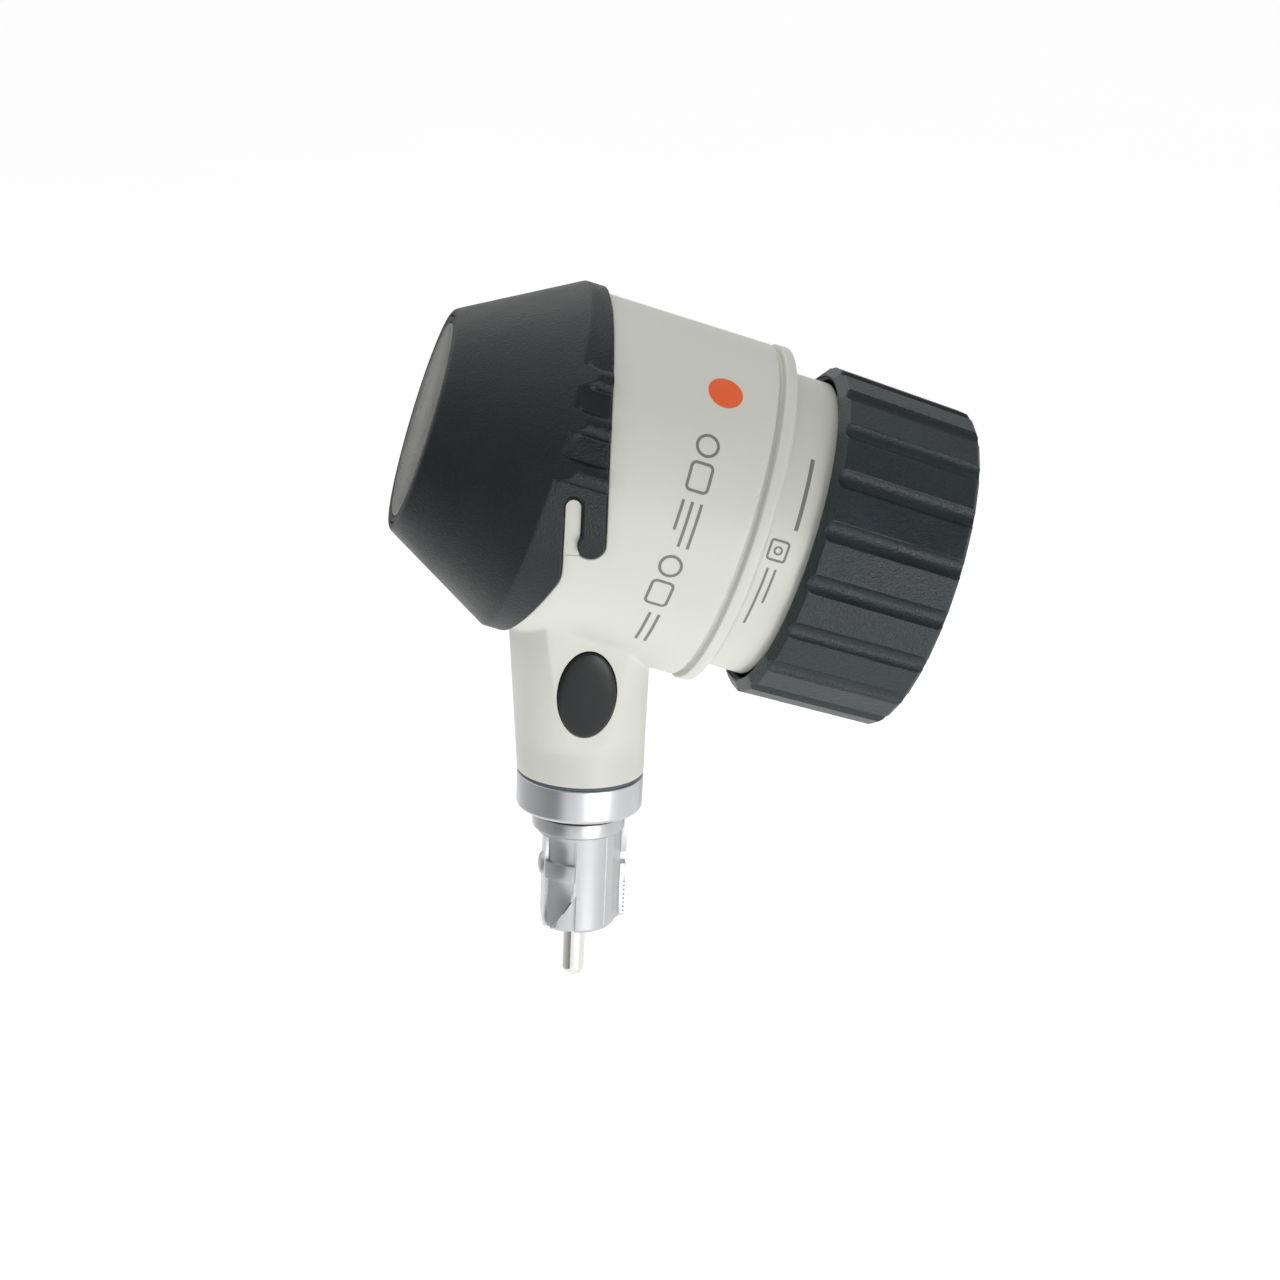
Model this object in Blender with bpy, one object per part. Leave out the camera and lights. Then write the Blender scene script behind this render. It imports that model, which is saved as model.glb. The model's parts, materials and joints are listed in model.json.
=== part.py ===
"""Dermatoscope optics head: a hand-held skin magnifier with a lit contact plate, a turning focus ring,
a switch in its neck and a bayonet plug that a battery handle holds.

The row frame has its origin at the centre of the coupling ring's lower face, where the handle seats,
with +Z up the neck, the contact plate towards -X, the eyepiece towards +X and the switch towards -Y.
The optical parts are turned about a second axis, which leans BETA below +X, and they are built in its
own frame: local Z runs towards the eyepiece, local X up and local Y towards the switch side.
All sizes are in millimetres and are scaled to metres when the meshes are made.
"""

import math

import bmesh
import bpy
from mathutils import Matrix, Vector

MM = 0.001
GAP = 0.3  # clearance between pieces that touch
BIG, MID, SMALL = 48, 26, 16  # facets round large, middle and small turned pieces

# Optical axis
BETA = math.radians(16.26)  # how far the optical axis leans down towards the eyepiece
AXIS_HEIGHT = 54.43  # where it crosses the neck's axis

# Contact cap: a cone that ends in a short band, cut off by the line where it meets the housing
CAP_FRONT = -27.3
CAP_RIM_R, CAP_RIM_S = 17.41, -27.09
CAP_R, CAP_GIRTH_S = 27.35, -9.44
CAP_SLOPE = (CAP_R - CAP_RIM_R) / (CAP_GIRTH_S - CAP_RIM_S)
CAP_WALL = 1.95
GLASS_R, GLASS_THICK = 15.2, 2.6
BAR_R, BAR_CENTRE_R = 1.85, 26.95  # grip bars on the cap's sides
BAR_ANGLES = (49.9, 64.8, 79.8)

# Where cap and housing meet, seen from the side: (x, z) points
SLANT_LOW = (-17.28, 24.0)
SLANT_TOP = (-6.45, 44.1)
SLANT_FILLET = 5.0
SLOT_LEFT, SLOT_RIGHT, SLOT_TOP_Z = -6.45, -3.65, 56.05
HOOK_RIGHT, HOOK_Z, HOOK_R = -0.3, 49.8, 2.0
EDGE_BEND_Z, EDGE_BEND = 55.0, 0.00242  # the cap's rear edge bows towards the eyepiece above this height
SEAM_GAP = 0.25
TONGUE_R = 25.9
SPIGOT_R, SPIGOT_HALF_WIDTH = 25.1, 24.2

# Housing
BODY_R, BODY_END_S = 26.5, 20.6
GROOVE_R = 25.6  # floor of the groove between body and bead
BEAD_R, BEAD_END_S, BEAD_EDGE = 26.8, 24.0, 1.5
BARREL_R, BARREL_END_S = 23.45, 31.3
CAVITY_FRONT_R, CAVITY_R, BARREL_BORE_R = 22.6, 23.9, 21.6

# Neck
NECK_BOTTOM, NECK_BORE_R, NECK_FLOOR, SHANK_HOLE_R = 6.15, 8.2, 8.6, 6.5
NECK_R, NECK_WIDENS = 10.0, (0.083, 0.005, 0.02)  # growth with height: left, right, front and back
FACET_Z, FACET_Y, FACET_SLOPE = 11.0, 10.1, 0.2235
FACET_TILT = math.atan(FACET_SLOPE)

# Switch button, on the neck's facet
BUTTON_X, BUTTON_Z = -0.65, 22.4
BUTTON_HALF_W, BUTTON_HALF_H = 4.42, 7.55
BUTTON_GAP = 0.2
BUTTON_SKIRT = 2.7  # how far its sides reach into the neck

# Focus ring
RING_FRONT_S, RING_EDGE_S, RING_REAR_S = 30.8, 32.0, 53.6
RING_FRONT_R, RING_REAR_R = 26.1, 25.4  # across the flats, front and rear
RING_FRONT_SLOPE, RING_REAR_CHAMFER = 1.25, 0.6
RING_BORE_R = 24.0
EYE_HOLE_R, EYE_WALL_S, EYE_SEAT_S = 18.9, 50.9, 52.0  # the ring's rear wall and the eyecup's seat in it
FLUTES, FLUTE_PHASE = 20, 2.0
FLUTE_R, FLUTE_CENTRE = 1.8, 1.0  # a flute's own radius, and how far its centre stands off the flat
FLUTE_END_S = 32.9  # centre of the ball end of each flute

# Coupling ring, plug and pin
RING_SEAT_R, RING_FACE_IN_R, COUPLING_TOP = 10.0, 7.95, 5.6
PLUG_R, PLUG_COLLAR_R, PLUG_BOTTOM = 6.4, 7.35, -19.8
PIN_R, PIN_TIP = 1.77, -29.55

# Light ring inside the housing
LIGHT_IN_R, LIGHT_OUT_R = 12.5, 21.15
LED_COUNT, LED_RING_R = 6, 17.0
BOARD_R, BOARD_FRONT_S, BOARD_BACK_S = 22.2, 1.9, 3.1
BOARD_SCREW_ANGLES = (30.0, 150.0, 270.0)
BOARD_SCREW_R = 18.5

# Optics
OBJECTIVE_R = 12.8
SLEEVE_BORE_R = 20.0
CARRIER_R, CARRIER_BORE_R = 19.7, 17.3
EYE_LENS_R = 17.0
GUIDE_PIN_R, GUIDE_PIN_S = 0.85, 29.0

# Switch inside the neck
SWITCH_BOARD_BACK_Y, SWITCH_BOARD_FRONT_Y = -2.8, -4.0
LEAD_R = 0.45


def clear_scene():
    for old in list(bpy.data.objects):
        bpy.data.objects.remove(old, do_unlink=True)


def material(name, colour, roughness, metallic=0.0, alpha=1.0):
    found = bpy.data.materials.get(name) or bpy.data.materials.new(name)
    found.use_nodes = True
    shader = found.node_tree.nodes["Principled BSDF"]
    shader.inputs["Base Color"].default_value = (*colour, 1.0)
    shader.inputs["Roughness"].default_value = roughness
    shader.inputs["Metallic"].default_value = metallic
    shader.inputs["Alpha"].default_value = alpha
    return found


def frame_empty(name, origin, x_axis, y_axis, z_axis):
    """An empty whose own axes are the given directions. Pieces are parented to it."""
    empty = bpy.data.objects.new(name, None)
    bpy.context.collection.objects.link(empty)
    turn = Matrix((x_axis, y_axis, z_axis)).transposed().to_4x4()
    empty.matrix_world = Matrix.Translation(Vector(origin) * MM) @ turn
    return empty


def make_object(name, bm, parent, mat, smooth=35.0):
    bmesh.ops.recalc_face_normals(bm, faces=bm.faces)
    bmesh.ops.scale(bm, vec=(MM, MM, MM), verts=bm.verts)
    mesh = bpy.data.meshes.new(name)
    bm.to_mesh(mesh)
    bm.free()
    mesh.shade_smooth()
    mesh.set_sharp_from_angle(angle=math.radians(smooth))
    obj = bpy.data.objects.new(name, mesh)
    bpy.context.collection.objects.link(obj)
    obj.parent = parent
    if mat:
        obj.data.materials.append(mat)
    return obj


def hide_cutter(obj):
    obj.hide_render = True
    obj.display_type = "WIRE"
    return obj


def boolean(obj, other, operation):
    modifier = obj.modifiers.new(f"{operation.lower()}_{other.name}", "BOOLEAN")
    modifier.operation = operation
    modifier.object = other


def turned(name, profile, parent, mat, steps=BIG):
    """A closed profile of (radius, height) points, turned about local Z.

    The first facet edge is half a facet away from the middle plane, where the shells are divided.
    """
    bm = bmesh.new()
    start = math.pi / steps
    verts = [bm.verts.new((r * math.cos(start), r * math.sin(start), z)) for r, z in profile]
    edges = [bm.edges.new((a, b)) for a, b in zip(verts, verts[1:] + verts[:1])]
    bmesh.ops.spin(
        bm,
        geom=verts + edges,
        axis=(0, 0, 1),
        cent=(0, 0, 0),
        angle=2 * math.pi,
        steps=steps,
        use_merge=True,
        use_duplicate=False,
    )
    bmesh.ops.remove_doubles(bm, verts=bm.verts, dist=1e-5)
    on_axis = [e for e in bm.edges if not e.link_faces]
    bmesh.ops.delete(bm, geom=on_axis, context="EDGES")
    return make_object(name, bm, parent, mat)


def tube(name, r_in, r_out, low, high, parent, mat, steps=MID):
    profile = [(r_in, low), (r_out, low), (r_out, high), (r_in, high)]
    return turned(name, profile, parent, mat, steps)


def prism(name, outline, low, high, parent, mat, plane="XZ"):
    """An outline extruded between two values of the axis that is missing from the plane's name."""
    place = {
        "XZ": lambda u, v, w: (u, w, v),
        "XY": lambda u, v, w: (u, v, w),
    }[plane]
    bm = bmesh.new()
    ends = [[bm.verts.new(place(u, v, w)) for u, v in outline] for w in (low, high)]
    for end in ends:
        bm.faces.new(end)
    count = len(outline)
    for i in range(count):
        j = (i + 1) % count
        bm.faces.new((ends[0][i], ends[0][j], ends[1][j], ends[1][i]))
    return make_object(name, bm, parent, mat)


def lofted(name, rings, parent, mat):
    """Closed rings of equal length joined in order, with both ends filled."""
    bm = bmesh.new()
    made = [[bm.verts.new(p) for p in ring] for ring in rings]
    count = len(rings[0])
    for lower, upper in zip(made, made[1:]):
        for i in range(count):
            j = (i + 1) % count
            bm.faces.new((lower[i], lower[j], upper[j], upper[i]))
    bm.faces.new(made[0])
    bm.faces.new(made[-1])
    return make_object(name, bm, parent, mat)


def box(name, low, high, parent, mat):
    outline = [(low[0], low[1]), (high[0], low[1]), (high[0], high[1]), (low[0], high[1])]
    return prism(name, outline, low[2], high[2], parent, mat, "XY")


def arc(centre, radius, start, end, steps):
    """Points along an arc, from start to end in degrees."""
    angles = [math.radians(start + (end - start) * i / steps) for i in range(steps + 1)]
    return [(centre[0] + radius * math.cos(a), centre[1] + radius * math.sin(a)) for a in angles]


def rod(name, radius, start, end, parent, mat, steps=SMALL):
    """A plain round bar between two points."""
    start, end = Vector(start), Vector(end)
    turn = Vector((0, 0, 1)).rotation_difference(end - start).to_matrix()
    rings = []
    for centre in (start, end):
        angles = [2 * math.pi * i / steps for i in range(steps)]
        circle = [Vector((radius * math.cos(a), radius * math.sin(a), 0)) for a in angles]
        rings.append([centre + turn @ point for point in circle])
    return lofted(name, rings, parent, mat)


def polar(radius, degrees, s):
    """A point of the optical frame from its radius, its angle from the top and its place along the axis."""
    angle = math.radians(degrees)
    return (radius * math.cos(angle), radius * math.sin(angle), s)


def optical_from_row(x, z):
    """(up, along) of a point of the middle plane in the optical frame."""
    dz = z - AXIS_HEIGHT
    up = x * math.sin(BETA) + dz * math.cos(BETA)
    along = x * math.cos(BETA) - dz * math.sin(BETA)
    return up, along


# ---------------------------------------------------------------------------------------------
# The line where cap and housing meet


def slant_and_fillet(shift):
    """The lower part of the line, from the bottom up to the slot's left side, moved right by shift."""
    dx, dz = SLANT_TOP[0] - SLANT_LOW[0], SLANT_TOP[1] - SLANT_LOW[1]
    lean = math.degrees(math.atan2(dx, dz))
    tangent = SLANT_FILLET * math.tan(math.radians(lean / 2))
    centre = (SLANT_TOP[0] - SLANT_FILLET, SLANT_TOP[1] + tangent)
    low = (SLANT_LOW[0] + shift / math.cos(math.radians(lean)), SLANT_LOW[1])
    return [low] + arc(centre, SLANT_FILLET + shift, -lean, 0.0, 4)


def rear_edge(shift, first_z, steps=6):
    """The upper part of the line, from the hook up to above the cap, moved right by shift."""
    top = AXIS_HEIGHT + CAP_R + 8
    points = []
    for i in range(steps + 1):
        z = EDGE_BEND_Z + (top - EDGE_BEND_Z) * i / steps
        points.append((HOOK_RIGHT + shift + EDGE_BEND * (z - EDGE_BEND_Z) ** 2, z))
    return [(HOOK_RIGHT + shift, first_z)] + points


def cap_line():
    slot_half = (SLOT_RIGHT - SLOT_LEFT) / 2
    slot_top = arc(((SLOT_LEFT + SLOT_RIGHT) / 2, SLOT_TOP_Z), slot_half, 180, 0, 8)
    hook_half = (HOOK_RIGHT - SLOT_RIGHT) / 2
    hook_end = arc(((HOOK_RIGHT + SLOT_RIGHT) / 2, HOOK_Z - 0.32), hook_half, 180, 360, 8)
    return slant_and_fillet(0.0) + slot_top + hook_end + rear_edge(0.0, HOOK_Z + 0.1)


def housing_line():
    hook_centre = (HOOK_RIGHT - HOOK_R, HOOK_Z)
    round_hook = arc(hook_centre, HOOK_R + SEAM_GAP, 225, 360, 8)
    shelf = (SLOT_LEFT + SEAM_GAP, round_hook[0][1])
    return slant_and_fillet(SEAM_GAP) + [shelf] + round_hook + rear_edge(SEAM_GAP, HOOK_Z + 0.1)


def spigot_line():
    return slant_and_fillet(SEAM_GAP) + [(SLOT_LEFT + SEAM_GAP, 100.0)]


def side_cutter(name, line, far_x):
    """Everything on one side of the line, through the whole width."""
    outline = line + [(far_x, line[-1][1]), (far_x, line[0][1])]
    return hide_cutter(prism(name, outline, -40, 40, None, None))


def skin_patch(name, outline, r_in, r_out, side, parent, mat):
    """A side-view outline laid on the optical cylinder. Side is -1 for the switch side, 1 for the far one."""
    bm = bmesh.new()
    shells = []
    for radius in (r_in, r_out):
        ring = []
        for x, z in outline:
            up, along = optical_from_row(x, z)
            ring.append(bm.verts.new((up, -side * math.sqrt(radius**2 - up**2), along)))
        mid = sum((v.co for v in ring), Vector()) / len(ring)
        hub = bm.verts.new((mid.x, -side * math.sqrt(radius**2 - mid.x**2), mid.z))
        shells.append((ring, hub))
    count = len(outline)
    for i in range(count):
        j = (i + 1) % count
        for ring, hub in shells:
            bm.faces.new((ring[i], ring[j], hub))
        bm.faces.new((shells[0][0][i], shells[0][0][j], shells[1][0][j], shells[1][0][i]))
    return make_object(name, bm, parent, mat)


# ---------------------------------------------------------------------------------------------
# Contact cap


def cap_radius(s):
    return CAP_RIM_R + CAP_SLOPE * (s - CAP_RIM_S)


def grip_bar(name, angle, side, parent):
    """A half-round bar along the cap's band. Its front end is flush with the cone carried on outwards."""
    rings = [[], []]
    for i in range(SMALL):
        turn = 2 * math.pi * i / SMALL
        radial = BAR_CENTRE_R + BAR_R * math.cos(turn)
        across = BAR_R * math.sin(turn)
        radius = math.hypot(radial, across)
        theta = side * (math.radians(angle) + math.atan2(across, radial))
        front = max(CAP_RIM_S + (radius - CAP_RIM_R) / CAP_SLOPE, CAP_GIRTH_S - 3)
        for ring, s in zip(rings, (front, 9.0)):
            ring.append((radius * math.cos(theta), radius * math.sin(theta), s))
    return hide_cutter(lofted(name, rings, parent, None))


def contact_cap(optic, mat):
    inner = CAP_WALL + 0.55  # the cone's wall, measured across the axis
    shelf_s = CAP_FRONT + GLASS_THICK + GAP
    profile = [
        (16.45, CAP_FRONT),
        (17.0, CAP_FRONT),
        (CAP_RIM_R + 0.05, CAP_RIM_S + 0.09),
        (CAP_R, CAP_GIRTH_S),
        (CAP_R, 10.0),
        (CAP_R - CAP_WALL, 10.0),
        (CAP_R - CAP_WALL, CAP_GIRTH_S + 1.0),
        (cap_radius(-21.5) - inner, -21.5),
        (13.9, -22.6),
        (13.9, shelf_s),
        (16.45, shelf_s),
    ]
    cap = turned("contact_cap", profile, optic, mat)
    for side, label in ((1, "near"), (-1, "far")):
        for i, angle in enumerate(BAR_ANGLES, 1):
            boolean(cap, grip_bar(f"bar_{label}_{i}", angle, side, optic), "UNION")
    boolean(cap, side_cutter("cap_line_cutter", cap_line(), 40), "DIFFERENCE")
    hook_centre = (HOOK_RIGHT - HOOK_R, HOOK_Z)
    for side, label in ((-1, "near"), (1, "far")):
        outline = arc(hook_centre, HOOK_R, 0, 337.5, 15)
        barb = skin_patch(f"barb_{label}", outline, 26.55, CAP_R - 0.02, side, optic, None)
        boolean(cap, hide_cutter(barb), "UNION")
    return cap


def contact_plate(optic, mats):
    front, back = CAP_FRONT, CAP_FRONT + GLASS_THICK
    glass = [(0, front), (GLASS_R - 0.3, front), (GLASS_R, front + 0.3), (GLASS_R, back), (0, back)]
    turned("contact_glass", glass, optic, mats["glass"])
    ring = [(15.4, front + 0.05), (16.2, front + 0.05), (16.2, back), (15.4, back)]
    turned("glass_retaining_ring", ring, optic, mats["black_metal"])


# ---------------------------------------------------------------------------------------------
# Housing shells


def housing_profile():
    """The outside of body, groove, bead and barrel, and a plain front that the cap's line cuts later."""
    return [
        (0, -22.0),
        (BODY_R, -22.0),
        (BODY_R, BODY_END_S - 0.5),
        (BODY_R - 0.4, BODY_END_S),
        (GROOVE_R, BODY_END_S + 0.1),
        (GROOVE_R, BODY_END_S + 1.0),
        (BEAD_R - 0.25, BODY_END_S + 1.15),
        (BEAD_R, BODY_END_S + 1.5),
        (BEAD_R, BEAD_END_S - BEAD_EDGE),
        (BEAD_R - 0.3 * BEAD_EDGE, BEAD_END_S - 0.3 * BEAD_EDGE),
        (BEAD_R - BEAD_EDGE, BEAD_END_S),
        (BARREL_R, BEAD_END_S + 0.05),
        (BARREL_R, BARREL_END_S - 0.9),
        (BARREL_R - 0.3, BARREL_END_S - 0.25),
        (BARREL_R - 0.9, BARREL_END_S),
        (0, BARREL_END_S),
    ]


def facet_depth(z):
    return FACET_Y + FACET_SLOPE * (z - FACET_Z)


def neck_section(z, parts=17):
    """The neck's outline at one height: an ellipse that widens upwards, cut flat by a facet on each side."""
    left, right, depth = (NECK_R + growth * (z - COUPLING_TOP) for growth in NECK_WIDENS)
    flare_start, flare = FACET_Z + 0.3, 0.40
    depth = max(depth, FACET_Y - 0.12 + flare * (z - flare_start))
    flat_share = facet_depth(z) / depth if z > FACET_Z else 1.0
    limit = min(math.asin(min(flat_share, 1.0)), math.radians(86))
    angles = [limit * (2 * i / parts - 1) for i in range(parts + 1)]
    right_side = [(right * math.cos(a), depth * math.sin(a), z) for a in angles]
    left_side = [(-left * math.cos(a), depth * math.sin(a), z) for a in reversed(angles)]
    return right_side + left_side


def neck_blank():
    heights = (NECK_BOTTOM, 8.5, 11.0, 12.5, 15, 19, 24, 29, 34, 40)
    return hide_cutter(lofted("neck_blank", [neck_section(z) for z in heights], None, None))


def spigot_blank(optic):
    nose_s, shoulder_s = -20.2, -8.2
    nose_r = SPIGOT_R - CAP_SLOPE * (shoulder_s - nose_s)
    profile = [(0, nose_s), (nose_r, nose_s), (SPIGOT_R, shoulder_s), (SPIGOT_R, 12), (0, 12)]
    spigot = hide_cutter(turned("spigot_blank", profile, optic, None))
    wide = box("spigot_width", (-60, -SPIGOT_HALF_WIDTH, 0), (60, SPIGOT_HALF_WIDTH, 100), None, None)
    boolean(spigot, hide_cutter(wide), "INTERSECT")
    boolean(spigot, side_cutter("spigot_line_cutter", spigot_line(), -60), "DIFFERENCE")
    return spigot


def tongue_outline():
    left, right = SLOT_LEFT + SEAM_GAP, SLOT_RIGHT - SEAM_GAP
    half = (right - left) / 2
    return [(left, 46.0), (right, 46.0)] + arc(((left + right) / 2, SLOT_TOP_Z), half, 0, 180, 8)


def housing_blank(optic):
    """The whole housing before it is divided into two shells."""
    blank = hide_cutter(turned("housing_blank", housing_profile(), optic, None))
    boolean(blank, side_cutter("housing_line_cutter", housing_line(), -60), "DIFFERENCE")
    boolean(blank, spigot_blank(optic), "UNION")
    for side, label in ((-1, "near"), (1, "far")):
        tongue = skin_patch(f"tongue_{label}", tongue_outline(), 23.2, TONGUE_R, side, optic, None)
        boolean(blank, hide_cutter(tongue), "UNION")
    boolean(blank, neck_blank(), "UNION")
    cavity = [
        (0, -30),
        (CAVITY_FRONT_R, -30),
        (CAVITY_FRONT_R, 6.0),
        (CAVITY_R, 7.3),
        (CAVITY_R, 18.0),
        (BARREL_BORE_R, 18.0),
        (BARREL_BORE_R, 40),
        (0, 40),
    ]
    boolean(blank, hide_cutter(turned("cavity", cavity, optic, None)), "DIFFERENCE")
    bore = [
        (0, 0),
        (SHANK_HOLE_R, 0),
        (SHANK_HOLE_R, NECK_FLOOR),
        (NECK_BORE_R, NECK_FLOOR),
        (NECK_BORE_R, 42),
        (0, 42),
    ]
    boolean(blank, hide_cutter(turned("neck_bore", bore, None, None, MID)), "DIFFERENCE")
    return blank


def button_outline(extra):
    return [
        ((BUTTON_HALF_W + extra) * math.cos(a), (BUTTON_HALF_H + extra) * math.sin(a))
        for a in (2 * math.pi * i / MID for i in range(MID))
    ]


def housing_shells(optic, button_frame, mat):
    blank = housing_blank(optic)
    half_seam = 0.04
    sides = (("body_shell_left", -60, -half_seam), ("body_shell_right", half_seam, 60))
    for name, low, high in sides:
        shell = box(name, (-45, low, -5), (75, high, 95), None, mat)
        boolean(shell, blank, "INTERSECT")
        if name == "body_shell_left":
            hole = prism("button_hole", button_outline(BUTTON_GAP), -9, 6, button_frame, None, "XY")
            boolean(shell, hide_cutter(hole), "DIFFERENCE")


# ---------------------------------------------------------------------------------------------
# Light ring and objective


def hole_set(name, radius, ring_r, angles, low, high, parent):
    """Several round cutters on a circle, as one object."""
    bm = bmesh.new()
    for angle in angles:
        x, y, _ = polar(ring_r, angle, 0)
        place = Matrix.Translation((x, y, (low + high) / 2))
        bmesh.ops.create_cone(
            bm, cap_ends=True, segments=16, radius1=radius, radius2=radius, depth=high - low, matrix=place
        )
    return hide_cutter(make_object(name, bm, parent, None))


def light_ring(optic, mats):
    tube("front_bezel", LIGHT_OUT_R + GAP, CAVITY_FRONT_R - GAP, -2.8, 1.4, optic, mats["black"], BIG)
    tube("polariser_ring", LIGHT_IN_R, LIGHT_OUT_R, -2.3, -1.5, optic, mats["filter"], MID)
    radii, back = (LIGHT_IN_R, LIGHT_OUT_R), BOARD_FRONT_S - 0.4
    reflector = tube("led_reflector", *radii, -1.2, back, optic, mats["white"], MID)
    led_angles = [360 * i / LED_COUNT for i in range(LED_COUNT)]
    boolean(reflector, hole_set("led_windows", 2.4, LED_RING_R, led_angles, -3, 3, optic), "DIFFERENCE")
    board = tube("led_board", LIGHT_IN_R, BOARD_R, BOARD_FRONT_S, BOARD_BACK_S, optic, mats["board"], MID)
    holes = hole_set("board_holes", 0.95, BOARD_SCREW_R, BOARD_SCREW_ANGLES, 1, 6.5, optic)
    boolean(board, holes, "DIFFERENCE")
    for i, angle in enumerate(led_angles, 1):
        led(f"led_{i}", polar(LED_RING_R, angle, 0), optic, mats["led"])
    for i, angle in enumerate(BOARD_SCREW_ANGLES, 1):
        board_screw(f"led_board_screw_{i}", polar(BOARD_SCREW_R, angle, 0), optic, mats["steel"])
    return holes


def led(name, place, parent, mat):
    base, dome = BOARD_FRONT_S - GAP, 1.1
    profile = [(0, base), (dome, base), (dome, 0.5), (0.8, 0.0), (0, -0.2)]
    turned(name, profile, parent, mat, 12).location = Vector(place) * MM


def board_screw(name, place, parent, mat):
    profile = [(0, 2.1), (0.7, 2.1), (0.7, 5.9), (1.5, 5.9), (1.5, 6.6), (1.2, 6.9), (0, 6.9)]
    turned(name, profile, parent, mat, 12).location = Vector(place) * MM


def lens_profile(radius, edge_front, edge_back, bulge_front, bulge_back, steps=3):
    """A biconvex lens: each face is an arc from the axis to the rim."""
    shares = [i / steps for i in range(steps + 1)]
    front = [(radius * share, edge_front - bulge_front * (1 - share**2)) for share in shares]
    back = [(radius * share, edge_back + bulge_back * (1 - share**2)) for share in reversed(shares)]
    return front + back


def objective(optic, mats, board_holes):
    tube("baffle_tube", 10.9, LIGHT_IN_R - GAP, -2.8, 5.5, optic, mats["black"], MID)
    tube("analyser_filter", 0, 10.6, -0.6, 0.4, optic, mats["filter"], MID)
    bore, flange = OBJECTIVE_R + GAP, BOARD_BACK_S + 0.5
    cell = [(bore, flange), (BOARD_R, flange), (BOARD_R, 5.6), (14.7, 5.6), (14.7, 12.6), (bore, 12.6)]
    cell = turned("objective_cell", cell, optic, mats["black_metal"], MID)
    boolean(cell, board_holes, "DIFFERENCE")
    turned("objective_lens", lens_profile(OBJECTIVE_R, 7.3, 10.4, 1.3, 1.3), optic, mats["lens"], MID)
    tube("objective_retaining_ring", 11.0, OBJECTIVE_R, 11.0, 12.4, optic, mats["black_metal"], MID)


# ---------------------------------------------------------------------------------------------
# Focus drive and eyepiece


def helicoid_sleeve(optic, mat):
    profile = [
        (SLEEVE_BORE_R, 14.2),
        (CAVITY_R - GAP, 14.2),
        (CAVITY_R - GAP, 16.4),
        (BARREL_BORE_R - GAP, 16.4),
        (BARREL_BORE_R - GAP, 32.6),
        (22.2, 33.2),
        (22.2, 44.5),
        (SLEEVE_BORE_R, 44.5),
    ]
    sleeve = turned("helicoid_sleeve", profile, optic, mat, MID)
    ends = (polar(19, 180, GUIDE_PIN_S), polar(23, 180, GUIDE_PIN_S))
    hole = rod("guide_pin_hole", GUIDE_PIN_R + 0.15, *ends, optic, None, 12)
    boolean(sleeve, hide_cutter(hole), "DIFFERENCE")
    return sleeve


def guide_pin(optic, mat):
    ends = (polar(CARRIER_R - 0.7, 180, GUIDE_PIN_S), polar(SLEEVE_BORE_R + 1.2, 180, GUIDE_PIN_S))
    rod("guide_pin", GUIDE_PIN_R, *ends, optic, mat, 12)


def lens_carrier(focus_axis, mat):
    profile = [
        (CARRIER_BORE_R, 24.0),
        (CARRIER_R, 24.0),
        (CARRIER_R, 49.0),
        (RING_BORE_R - 0.5, 49.0),
        (RING_BORE_R - 0.5, 50.5),
        (18.5, 50.5),
        (18.5, 51.6),
        (CARRIER_BORE_R, 51.6),
    ]
    carrier = turned("lens_carrier", profile, focus_axis, mat, MID)
    slot = box("guide_slot", (-21, -1.2, 25.5), (-18.6, 1.2, 36.0), focus_axis, None)
    boolean(carrier, hide_cutter(slot), "DIFFERENCE")
    return carrier


def eyepiece(focus_axis, mats):
    front_lens = lens_profile(EYE_LENS_R, 27.2, 29.4, 1.8, 1.2)
    rear_lens = lens_profile(EYE_LENS_R, 43.1, 47.0, 1.2, 2.2)
    turned("eyepiece_front_lens", front_lens, focus_axis, mats["lens"], MID)
    tube("lens_spacer", 15.8, EYE_LENS_R, 29.9, 42.6, focus_axis, mats["black_metal"], MID)
    turned("eyepiece_rear_lens", rear_lens, focus_axis, mats["lens"], MID)
    tube("eyepiece_retaining_ring", 15.6, EYE_LENS_R, 47.6, 49.2, focus_axis, mats["black_metal"], MID)


def ring_flat_radius(delta, s):
    """Distance from the axis to the ring's flats, delta degrees away from the middle of a flat."""
    share = (s - RING_EDGE_S) / (RING_REAR_S - RING_EDGE_S)
    across = RING_FRONT_R + (RING_REAR_R - RING_FRONT_R) * share
    if s < RING_EDGE_S:
        across = RING_FRONT_R - RING_FRONT_SLOPE * (RING_EDGE_S - s)
    if s > RING_REAR_S - RING_REAR_CHAMFER:
        across -= s - (RING_REAR_S - RING_REAR_CHAMFER)
    return across / math.cos(math.radians(delta))


def ring_radius(degrees, s):
    """Distance from the axis to the ring's outside: flats, and concave flutes with ball ends between them."""
    pitch = 360 / FLUTES
    delta = (degrees - FLUTE_PHASE + pitch / 2) % pitch - pitch / 2
    flat = ring_flat_radius(pitch / 2 - abs(delta), s)
    taper = (RING_FRONT_R - RING_REAR_R) * max(s - RING_EDGE_S, 0) / (RING_REAR_S - RING_EDGE_S)
    centre = RING_FRONT_R - taper + FLUTE_CENTRE
    back_off = max(FLUTE_END_S - s, 0)
    if back_off >= FLUTE_R:
        return flat
    radius = math.sqrt(FLUTE_R**2 - back_off**2)
    across = centre * math.sin(math.radians(delta))
    if abs(across) >= radius:
        return flat
    return min(flat, centre * math.cos(math.radians(delta)) - math.sqrt(radius**2 - across**2))


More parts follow.
